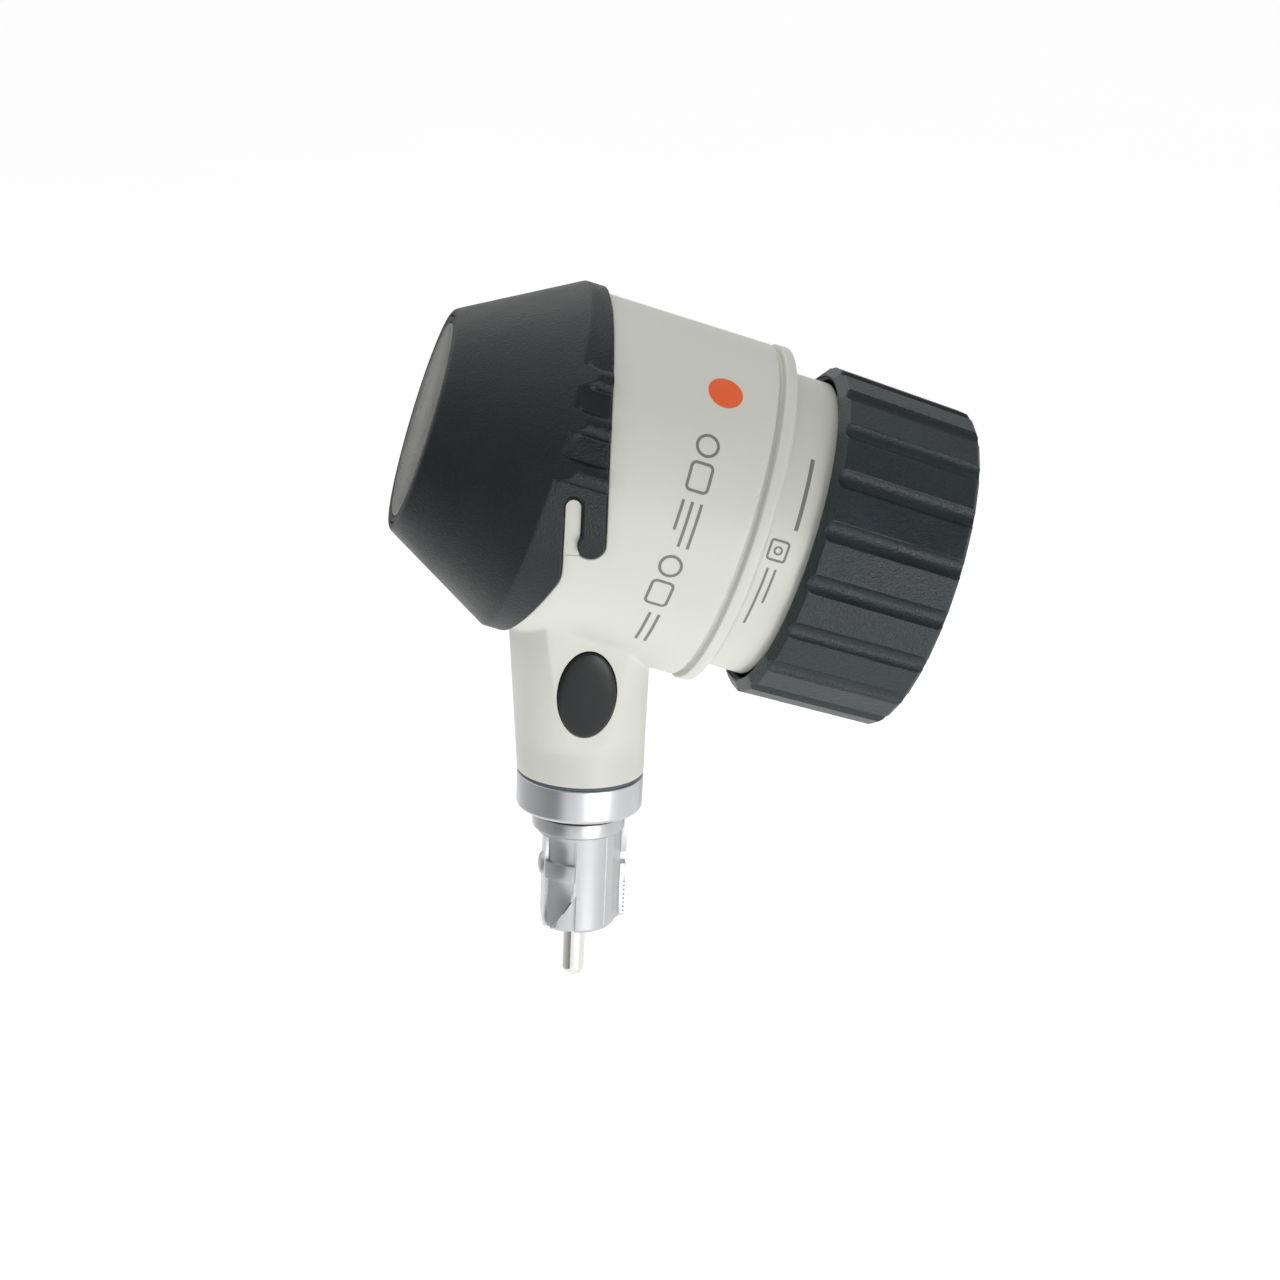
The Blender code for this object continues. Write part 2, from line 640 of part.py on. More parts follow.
def ring_angles():
    """The angles that the ring's outside is drawn at: close together across each flute."""
    pitch = 360 / FLUTES
    edge = 3.3
    steps = (-edge, -1.7, 0.0, 1.7, edge)
    return [FLUTE_PHASE + pitch * i + step for i in range(FLUTES) for step in steps]


def focus_ring(focus_axis, mats):
    eyecup_r = 23.1
    angles = ring_angles()
    flute_stations = (RING_EDGE_S - 0.6, RING_EDGE_S, FLUTE_END_S)
    stations = (RING_FRONT_S, *flute_stations, RING_REAR_S - RING_REAR_CHAMFER, RING_REAR_S)
    rings = [[polar(ring_radius(a, s), a, s) for a in angles] for s in stations]
    ring = lofted("focus_ring", rings, focus_axis, mats["black"])
    bore = [
        (0, 20),
        (RING_BORE_R + 0.5, 20),
        (RING_BORE_R + 0.5, RING_FRONT_S + 0.2),
        (RING_BORE_R, RING_FRONT_S + 0.7),
        (RING_BORE_R, EYE_WALL_S),
        (EYE_HOLE_R, EYE_WALL_S),
        (EYE_HOLE_R, EYE_SEAT_S),
        (eyecup_r + GAP, EYE_SEAT_S),
        (eyecup_r + GAP, 60),
        (0, 60),
    ]
    boolean(ring, hide_cutter(turned("ring_bore", bore, focus_axis, None)), "DIFFERENCE")
    tube("thread_insert", 22.5, RING_BORE_R - GAP, 36.0, 42.0, focus_axis, mats["brass"], MID)
    seat, rim = EYE_SEAT_S + GAP, RING_REAR_S + 0.15
    cup = [
        (EYE_HOLE_R + GAP, seat),
        (eyecup_r, seat),
        (eyecup_r, rim - 0.5),
        (eyecup_r - 0.4, rim - 0.1),
        (eyecup_r - 1.8, rim),
        (EYE_HOLE_R + 0.9, rim - 0.5),
    ]
    turned("eyecup", cup, focus_axis, mats["rubber"], BIG)


# ---------------------------------------------------------------------------------------------
# Neck, switch, coupling ring and plug


def coupling(mats):
    bore, recess = 6.7, 0.4
    profile = [
        (RING_FACE_IN_R, 0),
        (RING_SEAT_R - 0.6, 0),
        (RING_SEAT_R - 0.18, 0.18),
        (RING_SEAT_R, 0.6),
        (RING_SEAT_R, COUPLING_TOP - 0.15),
        (RING_SEAT_R - 0.15, COUPLING_TOP),
        (bore, COUPLING_TOP),
        (bore, recess),
        (RING_FACE_IN_R, recess),
    ]
    turned("coupling_ring", profile, None, mats["aluminium"], BIG)
    tube("neck_seal", 7.2, 9.85, COUPLING_TOP + 0.08, NECK_BOTTOM - 0.08, None, mats["rubber"], BIG)


def plug_sector(name, r_in, start, end, low, high):
    """A cutter for part of the plug's outside, between two angles and two heights."""
    outline = arc((0, 0), 9.0, start, end, 4) + arc((0, 0), r_in, end, start, 4)
    return hide_cutter(prism(name, outline, low, high, None, None, "XY"))


def bayonet_plug(mat):
    profile = [
        (0, PLUG_BOTTOM),
        (PLUG_R - 0.5, PLUG_BOTTOM),
        (PLUG_R, PLUG_BOTTOM + 0.6),
        (PLUG_R, -4.3),
        (PLUG_COLLAR_R - 0.4, -3.7),
        (PLUG_COLLAR_R, -2.9),
        (PLUG_COLLAR_R, -0.2),
        (6.3, -0.2),
        (6.3, 12.0),
        (0, 12.0),
    ]
    plug = turned("bayonet_plug", profile, None, mat, MID)
    rib_side = [(6.9, 1.1), (4.3, 4.9), (3.2, 4.9)]
    wedge = [(x, -y) for x, y in reversed(rib_side)] + [(7.8, -0.9), (7.8, 1.1)] + rib_side
    rib = prism("plug_rib", wedge, -18.8, -1.2, None, None, "XY")
    boolean(plug, hide_cutter(rib), "UNION")
    notch = box("rib_notch", (6.85, -3, -9.9), (9, 3, -7.9), None, None)
    boolean(plug, hide_cutter(notch), "DIFFERENCE")
    flat = box("plug_flat", (-9, -9, PLUG_BOTTOM - 1), (-5.35, 9, -4.4), None, None)
    boolean(plug, hide_cutter(flat), "DIFFERENCE")
    for i, (r_in, low, high) in enumerate(((5.75, -8.5, -4.5), (5.2, -11.3, -8.4)), 1):
        boolean(plug, plug_sector(f"pocket_{i}", r_in, 212, 262, low, high), "DIFFERENCE")
    relief = [(-0.5, -13.3), (-0.5, PLUG_BOTTOM - 1), (-4.8, PLUG_BOTTOM - 1)]
    relief = prism("plug_relief", relief, -9, -5.2, None, None, "XZ")
    boolean(plug, hide_cutter(relief), "DIFFERENCE")
    lug = rod("plug_lug", 1.6, (-4.9, 1.0, -10.6), (-6.15, 1.0, -10.6), None, None, 16)
    boolean(plug, hide_cutter(lug), "UNION")
    bore = tube("plug_bore", 0, 4.1, PLUG_BOTTOM - 3, 20, None, None, SMALL)
    boolean(plug, hide_cutter(bore), "DIFFERENCE")


def plug_inside(mats):
    tube("plug_nut", 6.45, 7.9, 8.9, 11.4, None, mats["brass"], MID)
    tube("pin_insulator", 2.0, 3.9, PLUG_BOTTOM + 0.4, 10.6, None, mats["white"], SMALL)
    round_nose = arc((0, PIN_TIP + PIN_R), PIN_R, -90, 0, 6)
    pin = [(0, PIN_TIP)] + round_nose[1:] + [(PIN_R, 10.9), (2.8, 10.9), (2.8, 11.7), (0, 11.7)]
    turned("contact_pin", pin, None, mats["nickel"], SMALL)


def switch_inside(mats):
    front, back = SWITCH_BOARD_FRONT_Y, SWITCH_BOARD_BACK_Y
    box("switch_board", (-6.0, front, 13.5), (6.0, back, 27.2), None, mats["board"])
    box("tact_switch", (-3.2, -7.1, 18.9), (2.0, front - GAP, 24.1), None, mats["black"])
    rod("switch_plunger", 1.2, (-0.6, -7.4, 21.5), (-0.6, -8.1, 21.5), None, mats["white"], 16)


def toggle_button(button_frame, mat):
    """A domed oval. Local Z points out of the facet, and local Y up along it."""
    rings = []
    outline = button_outline(0.0)
    dome = ((0.25, 1.0), (0.5, 0.965), (0.68, 0.88), (0.8, 0.7), (0.88, 0.4))
    for height, scale in ((-BUTTON_SKIRT, 1.0), *dome):
        rings.append([(u * scale, v * scale, height) for u, v in outline])
    return lofted("toggle_button", rings, button_frame, mat)


def smooth_route(points, steps):
    """Points along a smooth curve through the given points."""
    padded = [points[0], *points, points[-1]]
    route = []
    for a, b, c, d in zip(padded, padded[1:], padded[2:], padded[3:]):
        a, b, c, d = Vector(a), Vector(b), Vector(c), Vector(d)
        for i in range(steps):
            t = i / steps
            square, cube = 2 * a - 5 * b + 4 * c - d, 3 * b - a - 3 * c + d
            route.append(0.5 * (2 * b + (c - a) * t + square * t**2 + cube * t**3))
    return [*route, Vector(points[-1])]


def lead(name, points, mat):
    """A thin insulated wire inside the neck."""
    curve = bpy.data.curves.new(name, "CURVE")
    curve.dimensions = "3D"
    curve.bevel_depth = LEAD_R * MM
    curve.bevel_resolution = 2
    curve.use_fill_caps = True
    spline = curve.splines.new("POLY")
    route = smooth_route(points, 4)
    spline.points.add(len(route) - 1)
    for point, place in zip(spline.points, route):
        point.co = (*(place * MM), 1.0)
    obj = bpy.data.objects.new(name, curve)
    bpy.context.collection.objects.link(obj)
    obj.data.materials.append(mat)


def leads(mats):
    """Two wires from the switch board up to the light ring, and two from the plug up to the switch board."""
    for name, side, mat in (("lead_positive", -1, mats["red"]), ("lead_negative", 1, mats["black"])):
        route = [(-2.0 + 1.5 * side, -3.4, 27.8), (-2.2 + 1.6 * side, -3.2, 29.0), (-4.0, 1.6 * side, 31.4)]
        lead(name, route, mat)
    board_side = SWITCH_BOARD_BACK_Y + LEAD_R + GAP
    lead("lead_pin", [(0.0, 0.0, 12.3), (0.3, -0.4, 13.8), (1.0, board_side, 16.5)], mats["red"])
    lead("lead_ground", [(5.0, 5.0, 12.2), (4.6, 1.6, 14.2), (3.6, board_side, 17.0)], mats["black"])


def all_materials():
    return {
        "black": material("black_plastic", (0.018, 0.022, 0.024), 0.6),
        "grey": material("grey_plastic", (0.66, 0.67, 0.62), 0.42),
        "rubber": material("rubber", (0.02, 0.022, 0.024), 0.8),
        "glass": material("contact_glass", (0.5, 0.5, 0.48), 0.1, 0.0, 0.5),
        "lens": material("lens_glass", (0.75, 0.8, 0.82), 0.03, 0.0, 0.35),
        "filter": material("filter_film", (0.08, 0.08, 0.09), 0.15, 0.0, 0.7),
        "black_metal": material("black_anodised", (0.03, 0.03, 0.032), 0.4, 0.8),
        "aluminium": material("aluminium", (0.78, 0.79, 0.81), 0.32, 1.0),
        "nickel": material("nickel", (0.82, 0.81, 0.76), 0.12, 1.0),
        "brass": material("brass", (0.72, 0.55, 0.27), 0.35, 1.0),
        "steel": material("steel", (0.6, 0.6, 0.6), 0.3, 1.0),
        "white": material("white_plastic", (0.8, 0.8, 0.78), 0.5),
        "board": material("circuit_board", (0.02, 0.12, 0.05), 0.5),
        "led": material("led_resin", (0.9, 0.85, 0.5), 0.2),
        "red": material("red_insulation", (0.5, 0.03, 0.02), 0.5),
    }


def main():
    clear_scene()
    mats = all_materials()
    up = (math.sin(BETA), 0, math.cos(BETA))
    along = (math.cos(BETA), 0, -math.sin(BETA))
    optic = frame_empty("optical_axis", (0, 0, AXIS_HEIGHT), up, (0, -1, 0), along)
    focus_axis = frame_empty("focus_axis", (0, 0, AXIS_HEIGHT), up, (0, -1, 0), along)
    outward = (0, -math.cos(FACET_TILT), -math.sin(FACET_TILT))
    rising = (0, -math.sin(FACET_TILT), math.cos(FACET_TILT))
    button_place = (BUTTON_X, -facet_depth(BUTTON_Z), BUTTON_Z)
    button_frame = frame_empty("button_axis", button_place, (1, 0, 0), rising, outward)

    contact_cap(optic, mats["black"])
    contact_plate(optic, mats)
    housing_shells(optic, button_frame, mats["grey"])
    board_holes = light_ring(optic, mats)
    objective(optic, mats, board_holes)
    helicoid_sleeve(optic, mats["aluminium"])
    guide_pin(optic, mats["steel"])
    lens_carrier(focus_axis, mats["black_metal"])
    eyepiece(focus_axis, mats)
    focus_ring(focus_axis, mats)
    coupling(mats)
    bayonet_plug(mats["aluminium"])
    plug_inside(mats)
    switch_inside(mats)
    toggle_button(button_frame, mats["black"])
    leads(mats)


main()
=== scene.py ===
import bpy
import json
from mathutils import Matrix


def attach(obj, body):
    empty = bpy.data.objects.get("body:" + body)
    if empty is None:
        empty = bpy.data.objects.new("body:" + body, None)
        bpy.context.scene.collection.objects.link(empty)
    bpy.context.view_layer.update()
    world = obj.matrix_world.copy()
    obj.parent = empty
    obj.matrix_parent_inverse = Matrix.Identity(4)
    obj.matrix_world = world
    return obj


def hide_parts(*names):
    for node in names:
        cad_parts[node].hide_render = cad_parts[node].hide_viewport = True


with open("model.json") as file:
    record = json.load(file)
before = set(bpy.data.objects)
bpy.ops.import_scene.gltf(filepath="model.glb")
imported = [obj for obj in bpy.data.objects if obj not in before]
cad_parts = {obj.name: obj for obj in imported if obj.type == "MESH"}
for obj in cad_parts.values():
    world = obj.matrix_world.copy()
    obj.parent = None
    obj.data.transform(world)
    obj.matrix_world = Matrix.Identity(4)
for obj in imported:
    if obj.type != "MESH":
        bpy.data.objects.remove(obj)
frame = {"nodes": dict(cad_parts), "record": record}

"""Looks of the dermatoscope optics head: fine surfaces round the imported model, materials, light and camera.

Lengths are millimetres in the making and metres in the meshes. OPTIC is the frame of the leaning optical
axis: its X is up, its Y is towards the switch side and its Z runs towards the eyepiece. An angle round
the axis is measured from the top towards the switch side.
"""
import json
import math

import bmesh
import bpy
import numpy as np
from mathutils import Matrix, Vector
from mathutils.geometry import delaunay_2d_cdt

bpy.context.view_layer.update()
MM = 0.001
CUT_SHARP, FINE_SHARP = 35, 30  # degrees between faces, over which an edge is shaded sharp

# Sizes and places: most are the part's too, and the rest are details that only this model has
BETA, AXIS_HEIGHT = math.radians(16.26), 54.43
CAP_FRONT, CAP_RIM_R, CAP_RIM_S = -27.3, 17.41, -27.09
CAP_R, CAP_GIRTH_S, CAP_WALL, CAP_EDGE = 27.35, -9.44, 1.95, 0.25
CAP_SLOPE = (CAP_R - CAP_RIM_R) / (CAP_GIRTH_S - CAP_RIM_S)
GLASS_R, GLASS_THICK = 15.2, 2.6
BAR_R, BAR_DEEP, BAR_FILLET = 1.82, 0.4, 0.25
BAR_ANGLES = (49.9, 64.8, 79.8)
SLANT_LOW, SLANT_TOP, SLANT_FILLET = (-17.28, 24.0), (-6.45, 44.1), 5.0
SLOT_LEFT, SLOT_RIGHT, SLOT_TOP_Z = -6.45, -3.65, 56.05
HOOK_RIGHT, HOOK_Z, HOOK_R = -0.3, 49.8, 2.0
EDGE_BEND_Z, EDGE_BEND = 55.0, 0.00242
SEAM_GAP = 0.25
TONGUE_R, BARB_INNER_R, SPIGOT_R, SPIGOT_HALF_WIDTH = 26.4, 26.55, 25.1, 24.2
BODY_R, BODY_END_S, GROOVE_R = 26.5, 20.6, 25.75
REAR_SKIN_S = BODY_END_S - 1.2  # where the body's skin hands over to the turned rear profile
BEAD_R, BEAD_END_S = 26.8, 24.0
BARREL_R, BARREL_END_S = 23.45, 31.3
CAVITY_FRONT_R, CAVITY_R, BARREL_BORE_R = 22.6, 23.9, 21.6
NECK_BOTTOM, NECK_R, NECK_WIDENS = 6.15, 10.0, (0.083, 0.005, 0.02)
NECK_BORE_R, NECK_FLOOR, SHANK_HOLE_R = 8.2, 8.6, 6.5
FACET_Z, FACET_Y, FACET_SLOPE = 11.0, 10.1, 0.2235
BUTTON_X, BUTTON_Z, BUTTON_HALF_W, BUTTON_HALF_H = -0.65, 22.4, 4.42, 7.55
RING_FRONT_S, RING_EDGE_S, RING_REAR_S = 30.8, 32.0, 53.6
RING_FRONT_R, RING_REAR_R, RING_BORE_R, REAR_CHAMFER = 26.1, 25.4, 24.0, 0.6
EYE_HOLE_R, EYE_WALL_S, EYE_SEAT_S, EYECUP_R = 18.9, 50.9, 52.0, 23.1
FLUTES, FLUTE_PHASE, FLUTE_R, FLUTE_CENTRE, FLUTE_END_S = 20, 2.0, 1.8, 1.0, 32.9
RING_SEAT_R, COUPLING_TOP = 10.0, 5.6
PLUG_R, PLUG_COLLAR_R, PLUG_BOTTOM, SHANK_R = 6.4, 7.35, -19.8, 6.3
PIN_R, PIN_TIP = 1.77, -29.55
HALF_SEAM, SEAM_ROUND, FRONT_EDGE = 0.04, 0.1, 0.2
CLEAR_OF_PLANE = 0.05  # keeps a cutter's faces out of the planes of the shell's own faces

OPTIC = Matrix.Translation((0, 0, AXIS_HEIGHT)) @ Matrix(
    (
        (math.sin(BETA), 0, math.cos(BETA)),
        (0, -1, 0),
        (math.cos(BETA), 0, -math.sin(BETA)),
    )
).transposed().to_4x4()
ROW = Matrix.Identity(4)


# --- Meshes ---


def to_world(points, place):
    turn = np.array(place)
    points = np.asarray(points, float).reshape(-1, 3)
    return (points @ turn[:3, :3].T + turn[:3, 3]) * MM


def piece(name, points, faces, place, mat, sharp=40.0):
    """A mesh object from points in millimetres and lists of corner numbers. Doubled points are merged."""
    mesh = bpy.data.meshes.new(name)
    mesh.from_pydata(to_world(points, place).tolist(), [], faces)
    bm = bmesh.new()
    bm.from_mesh(mesh)
    bmesh.ops.remove_doubles(bm, verts=bm.verts, dist=2e-6)
    bmesh.ops.dissolve_degenerate(bm, edges=bm.edges, dist=1e-7)
    bmesh.ops.recalc_face_normals(bm, faces=bm.faces)
    bm.to_mesh(mesh)
    bm.free()
    return finished(name, mesh, mat, sharp)


def shaded(mesh, mat, sharp):
    mesh.shade_smooth()
    mesh.set_sharp_from_angle(angle=math.radians(sharp))
    mesh.materials.clear()
    if mat:
        mesh.materials.append(mat)


def finished(name, mesh, mat, sharp=40.0):
    shaded(mesh, mat, sharp)
    obj = bpy.data.objects.new(name, mesh)
    bpy.context.scene.collection.objects.link(obj)
    return obj


def grid_faces(rows, columns, wrap_rows=False, wrap_columns=True, start=0):
    faces = []
    for i in range(rows if wrap_rows else rows - 1):
        for j in range(columns if wrap_columns else columns - 1):
            k, m = (i + 1) % rows, (j + 1) % columns
            corners = (i * columns + j, i * columns + m, k * columns + m, k * columns + j)
            faces.append(tuple(start + n for n in corners))
    return faces


def arc(centre, radius, start, end, steps):
    angles = [math.radians(start + (end - start) * i / steps) for i in range(steps + 1)]
    return [(centre[0] + radius * math.cos(a), centre[1] + radius * math.sin(a)) for a in angles]


def rounded(profile, radius, closed=True, steps=3):
    """The profile with each corner turned into a short arc. Corners on the axis stay."""
    made = []
    count = len(profile)
    for i, here in enumerate(profile):
        if (not closed and i in (0, count - 1)) or here[0] < 1e-6:
            made.append(here)
            continue
        here, before, after = (Vector(profile[k % count]) for k in (i, i - 1, i + 1))
        a, b = before - here, after - here
        reach = min(radius, 0.45 * a.length, 0.45 * b.length)
        a, b = here + a.normalized() * reach, here + b.normalized() * reach
        for k in range(steps + 1):
            t = k / steps
            made.append(tuple((1 - t) ** 2 * a + 2 * t * (1 - t) * here + t**2 * b))
    return made


def turned(name, profile, place, mat, edge=0.12, steps=144):
    """A closed (radius, height) profile turned about local Z, with its corners rounded."""
    profile = rounded(profile, edge)
    points = []
    for r, s in profile:
        for j in range(steps):
            a = 2 * math.pi * (j + 0.5) / steps
            points.append((r * math.cos(a), r * math.sin(a), s))
    return piece(name, points, grid_faces(len(profile), steps, wrap_rows=True), place, mat)


def softmin(a, b, k):
    return -k * np.logaddexp(-np.asarray(a) / k, -np.asarray(b) / k)


def edge_drop(distance, radius):
    """How far a rounded edge lies under the surface, at a distance from that edge."""
    short = np.clip(radius - distance, 0, radius)
    return radius - np.sqrt(np.maximum(radius**2 - short**2, 0))


def distance_to(points, line):
    """From each 2-D point to a polyline."""
    points, line = np.asarray(points, float), np.asarray(line, float)
    best = np.full(len(points), 1e9)
    for a, b in zip(line, line[1:]):
        along = b - a
        share = np.clip(((points - a) @ along) / max(along @ along, 1e-12), 0, 1)
        best = np.minimum(best, np.linalg.norm(points - a - share[:, None] * along, axis=1))
    return best


def inside(points, loop):
    points, loop = np.asarray(points, float), np.asarray(loop, float)
    result = np.zeros(len(points), bool)
    for a, b in zip(loop, np.roll(loop, -1, axis=0)):
        crosses = (a[1] > points[:, 1]) != (b[1] > points[:, 1])
        height = b[1] - a[1] if abs(b[1] - a[1]) > 1e-12 else 1e-12
        x = a[0] + (points[:, 1] - a[1]) * (b[0] - a[0]) / height
        result ^= crosses & (points[:, 0] < x)
    return result


def offset_line(line, distance):
    """A polyline moved to its left."""
    line = np.asarray(line, float)
    along = np.gradient(line, axis=0)
    along /= np.maximum(np.linalg.norm(along, axis=1, keepdims=True), 1e-9)
    return line + distance * np.stack([-along[:, 1], along[:, 0]], axis=1)


def resampled(line, spacing):
    """The polyline with points no further apart than spacing. Its own points stay."""
    made = [line[0]]
    for a, b in zip(line, line[1:]):
        parts = max(1, math.ceil(math.dist(a, b) / spacing))
        made += [tuple(a[n] + (b[n] - a[n]) * i / parts for n in (0, 1)) for i in range(1, parts + 1)]
    return made


def triangulated(loop, inner):
    """Delaunay triangles of a 2-D region: its boundary loop, and points inside it."""
    points = [Vector(p) for p in loop] + [Vector(p) for p in inner]
    edges = [(i, (i + 1) % len(loop)) for i in range(len(loop))]
    verts, _, faces, _, _, _ = delaunay_2d_cdt(points, edges, [], 0, 1e-6)
    verts = np.array([tuple(v) for v in verts])
    faces = np.array([f for f in faces if len(f) == 3])
    faces = faces[inside(verts[faces].mean(axis=1), loop)]
    return verts, faces


def region_points(loop, edges_with_rings, columns, rows, clear):
    """Points for a region: rings beside its rounded edges, and a grid in its middle."""
    found = []
    for line, distances in edges_with_rings:
        for d in distances:
            ring = offset_line(line, d)
            keep = inside(ring, loop) & (distance_to(ring, line) > 0.8 * d)
            found += [tuple(p) for p in ring[keep]]
    closed = list(loop) + [loop[0]]
    if found:
        near = distance_to(found, closed)
        found = [p for p, d in zip(found, near) if d > 0.02]
    grid = np.array([(u, v) for u in columns for v in rows])
    keep = inside(grid, loop) & (distance_to(grid, closed) > clear)
    return found + [tuple(p) for p in grid[keep]]


# --- The line where cap and housing meet, as in the part ---


def optical_from_row(x, z):
    dz = z - AXIS_HEIGHT
    return x * math.sin(BETA) + dz * math.cos(BETA), x * math.cos(BETA) - dz * math.sin(BETA)


def edge_s(up, shift):
    """Where the rear edge lies along the axis, at a height above the axis."""
    z = AXIS_HEIGHT + up
    for _ in range(30):
        x = HOOK_RIGHT + shift + EDGE_BEND * max(z - EDGE_BEND_Z, 0) ** 2
        z = AXIS_HEIGHT + (up - x * math.sin(BETA)) / math.cos(BETA)
    return optical_from_row(x, z)[1]


def slant_line(shift):
    """The straight lower part and its fillet up to the slot's left side."""
    dx, dz = SLANT_TOP[0] - SLANT_LOW[0], SLANT_TOP[1] - SLANT_LOW[1]
    lean = math.degrees(math.atan2(dx, dz))
    tangent = SLANT_FILLET * math.tan(math.radians(lean / 2))
    centre = (SLANT_TOP[0] - SLANT_FILLET, SLANT_TOP[1] + tangent)
    low = (SLANT_LOW[0] + shift / math.cos(math.radians(lean)), SLANT_LOW[1])
    return [low] + arc(centre, SLANT_FILLET + shift, -lean, 0.0, 12)


def cap_hook_line():
    """From the fillet up the slot, over its top, down to the hook, and round the hook's end and barb."""
    slot_half = (SLOT_RIGHT - SLOT_LEFT) / 2
    slot_top = arc(((SLOT_LEFT + SLOT_RIGHT) / 2, SLOT_TOP_Z), slot_half, 180, 0, 20)
    barb_start = math.degrees(math.acos((SLOT_RIGHT - HOOK_RIGHT + HOOK_R) / HOOK_R))
    barb = arc((HOOK_RIGHT - HOOK_R, HOOK_Z), HOOK_R, barb_start, 360, 34)
    return slot_top + barb


def housing_hook_line():
    round_hook = arc((HOOK_RIGHT - HOOK_R, HOOK_Z), HOOK_R + SEAM_GAP, 225, 360, 24)
    return [(SLOT_LEFT + SEAM_GAP, round_hook[0][1])] + round_hook


def wrapped(line, radius, spacing=0.35):
    """A side-view line laid on a cylinder: (arc length from the top, place along the axis) points."""
    made = []
    for x, z in resampled(line, spacing):
        up, along = optical_from_row(x, z)
        if abs(up) < radius:
            made.append((radius * math.acos(up / radius), along))
    return made


def front_line(radius, shift, hook_line, columns, end_angle):
    """The whole line on a cylinder, from near the top round to end_angle.

    columns are the arc lengths of its upper part, which takes in the cap's grip bars.
    """
    hook = wrapped(hook_line, radius)
    top_u = hook[-1][0]
    upper = [(u, edge_s(radius * math.cos(u / radius), shift)) for u in columns if u < top_u - 0.15]
    slant = resampled(slant_line(shift) + [(hook_line[0][0], hook_line[0][1])], 0.35)
    optical = np.array([optical_from_row(x, z) for x, z in slant])
    low_u = hook[0][0]
    end_u = radius * end_angle
    count = int((end_u - low_u) / 0.45)
    lower_u = [low_u + (end_u - low_u) * i / count for i in range(1, count + 1)]
    heights = [radius * math.cos(u / radius) for u in lower_u]
    lower = [(u, float(np.interp(up, optical[:, 0], optical[:, 1]))) for u, up in zip(lower_u, heights)]
    return upper + list(reversed(hook)) + lower


# --- Contact cap ---


def cone_radius(s):
    return CAP_RIM_R + CAP_SLOPE * (s - CAP_RIM_S)


def bar_section():
    """One grip bar's cross-section: (distance across, height over the band), with a fillet at each foot."""
    foot = math.sqrt((BAR_R + BAR_FILLET) ** 2 - (BAR_DEEP + BAR_FILLET) ** 2)
    lean = math.degrees(math.atan2(BAR_DEEP + BAR_FILLET, foot))
    fillet = arc((foot, BAR_FILLET), BAR_FILLET, -90, -180 + lean, 5)
    top = arc((0, -BAR_DEEP), BAR_R, lean, 180 - lean, 22)
    return fillet + top[1:-1] + [(-x, y) for x, y in reversed(fillet)]


def cap_section():
    """(arc length, height over the band) all the way round the cap, from -180 to 180 degrees."""
    half = []
    section = sorted(bar_section())
    reach = section[-1][0]
    centres = [CAP_R * math.radians(a) for a in BAR_ANGLES]
    step = CAP_R * math.radians(1.0)
    for i in range(181):
        if all(abs(i * step - c) > reach + 0.12 for c in centres):
            half.append((i * step, 0.0))
    for c in centres:
        half += [(c + x, max(h, 0.0)) for x, h in section]
    half.sort()
    return [(-u, h) for u, h in reversed(half)] + half[1:]


def cap_outer(u, s, heights):
    return softmin(cone_radius(s), CAP_R + np.interp(u, heights[:, 0], heights[:, 1]), 0.05)


def cap_inner(s):
    return np.minimum(CAP_R - CAP_WALL, CAP_R - CAP_WALL + CAP_SLOPE * (s - CAP_GIRTH_S - 1.0))


def cap_inner_at(u, s):
    """The cap's inside, with the hook's barb thin enough to pass over the housing's tongue."""
    up = CAP_R * np.cos(u / CAP_R)
    x, z = up * math.sin(BETA) + s * math.cos(BETA), AXIS_HEIGHT + up * math.cos(BETA) - s * math.sin(BETA)
    barb = (x > SLOT_RIGHT - 1.4) & (x < SLOT_RIGHT - 0.03) & (z < HOOK_Z + HOOK_R)
    return np.where(barb, BARB_INNER_R, cap_inner(s))


def on_cap(u, radius, s):
    """Points at a radius, where u is the arc length round the cap's band."""
    angle = np.asarray(u) / CAP_R
    heights = np.broadcast_to(s, np.shape(angle))
    return np.stack([radius * np.cos(angle), radius * np.sin(angle), heights], axis=-1)


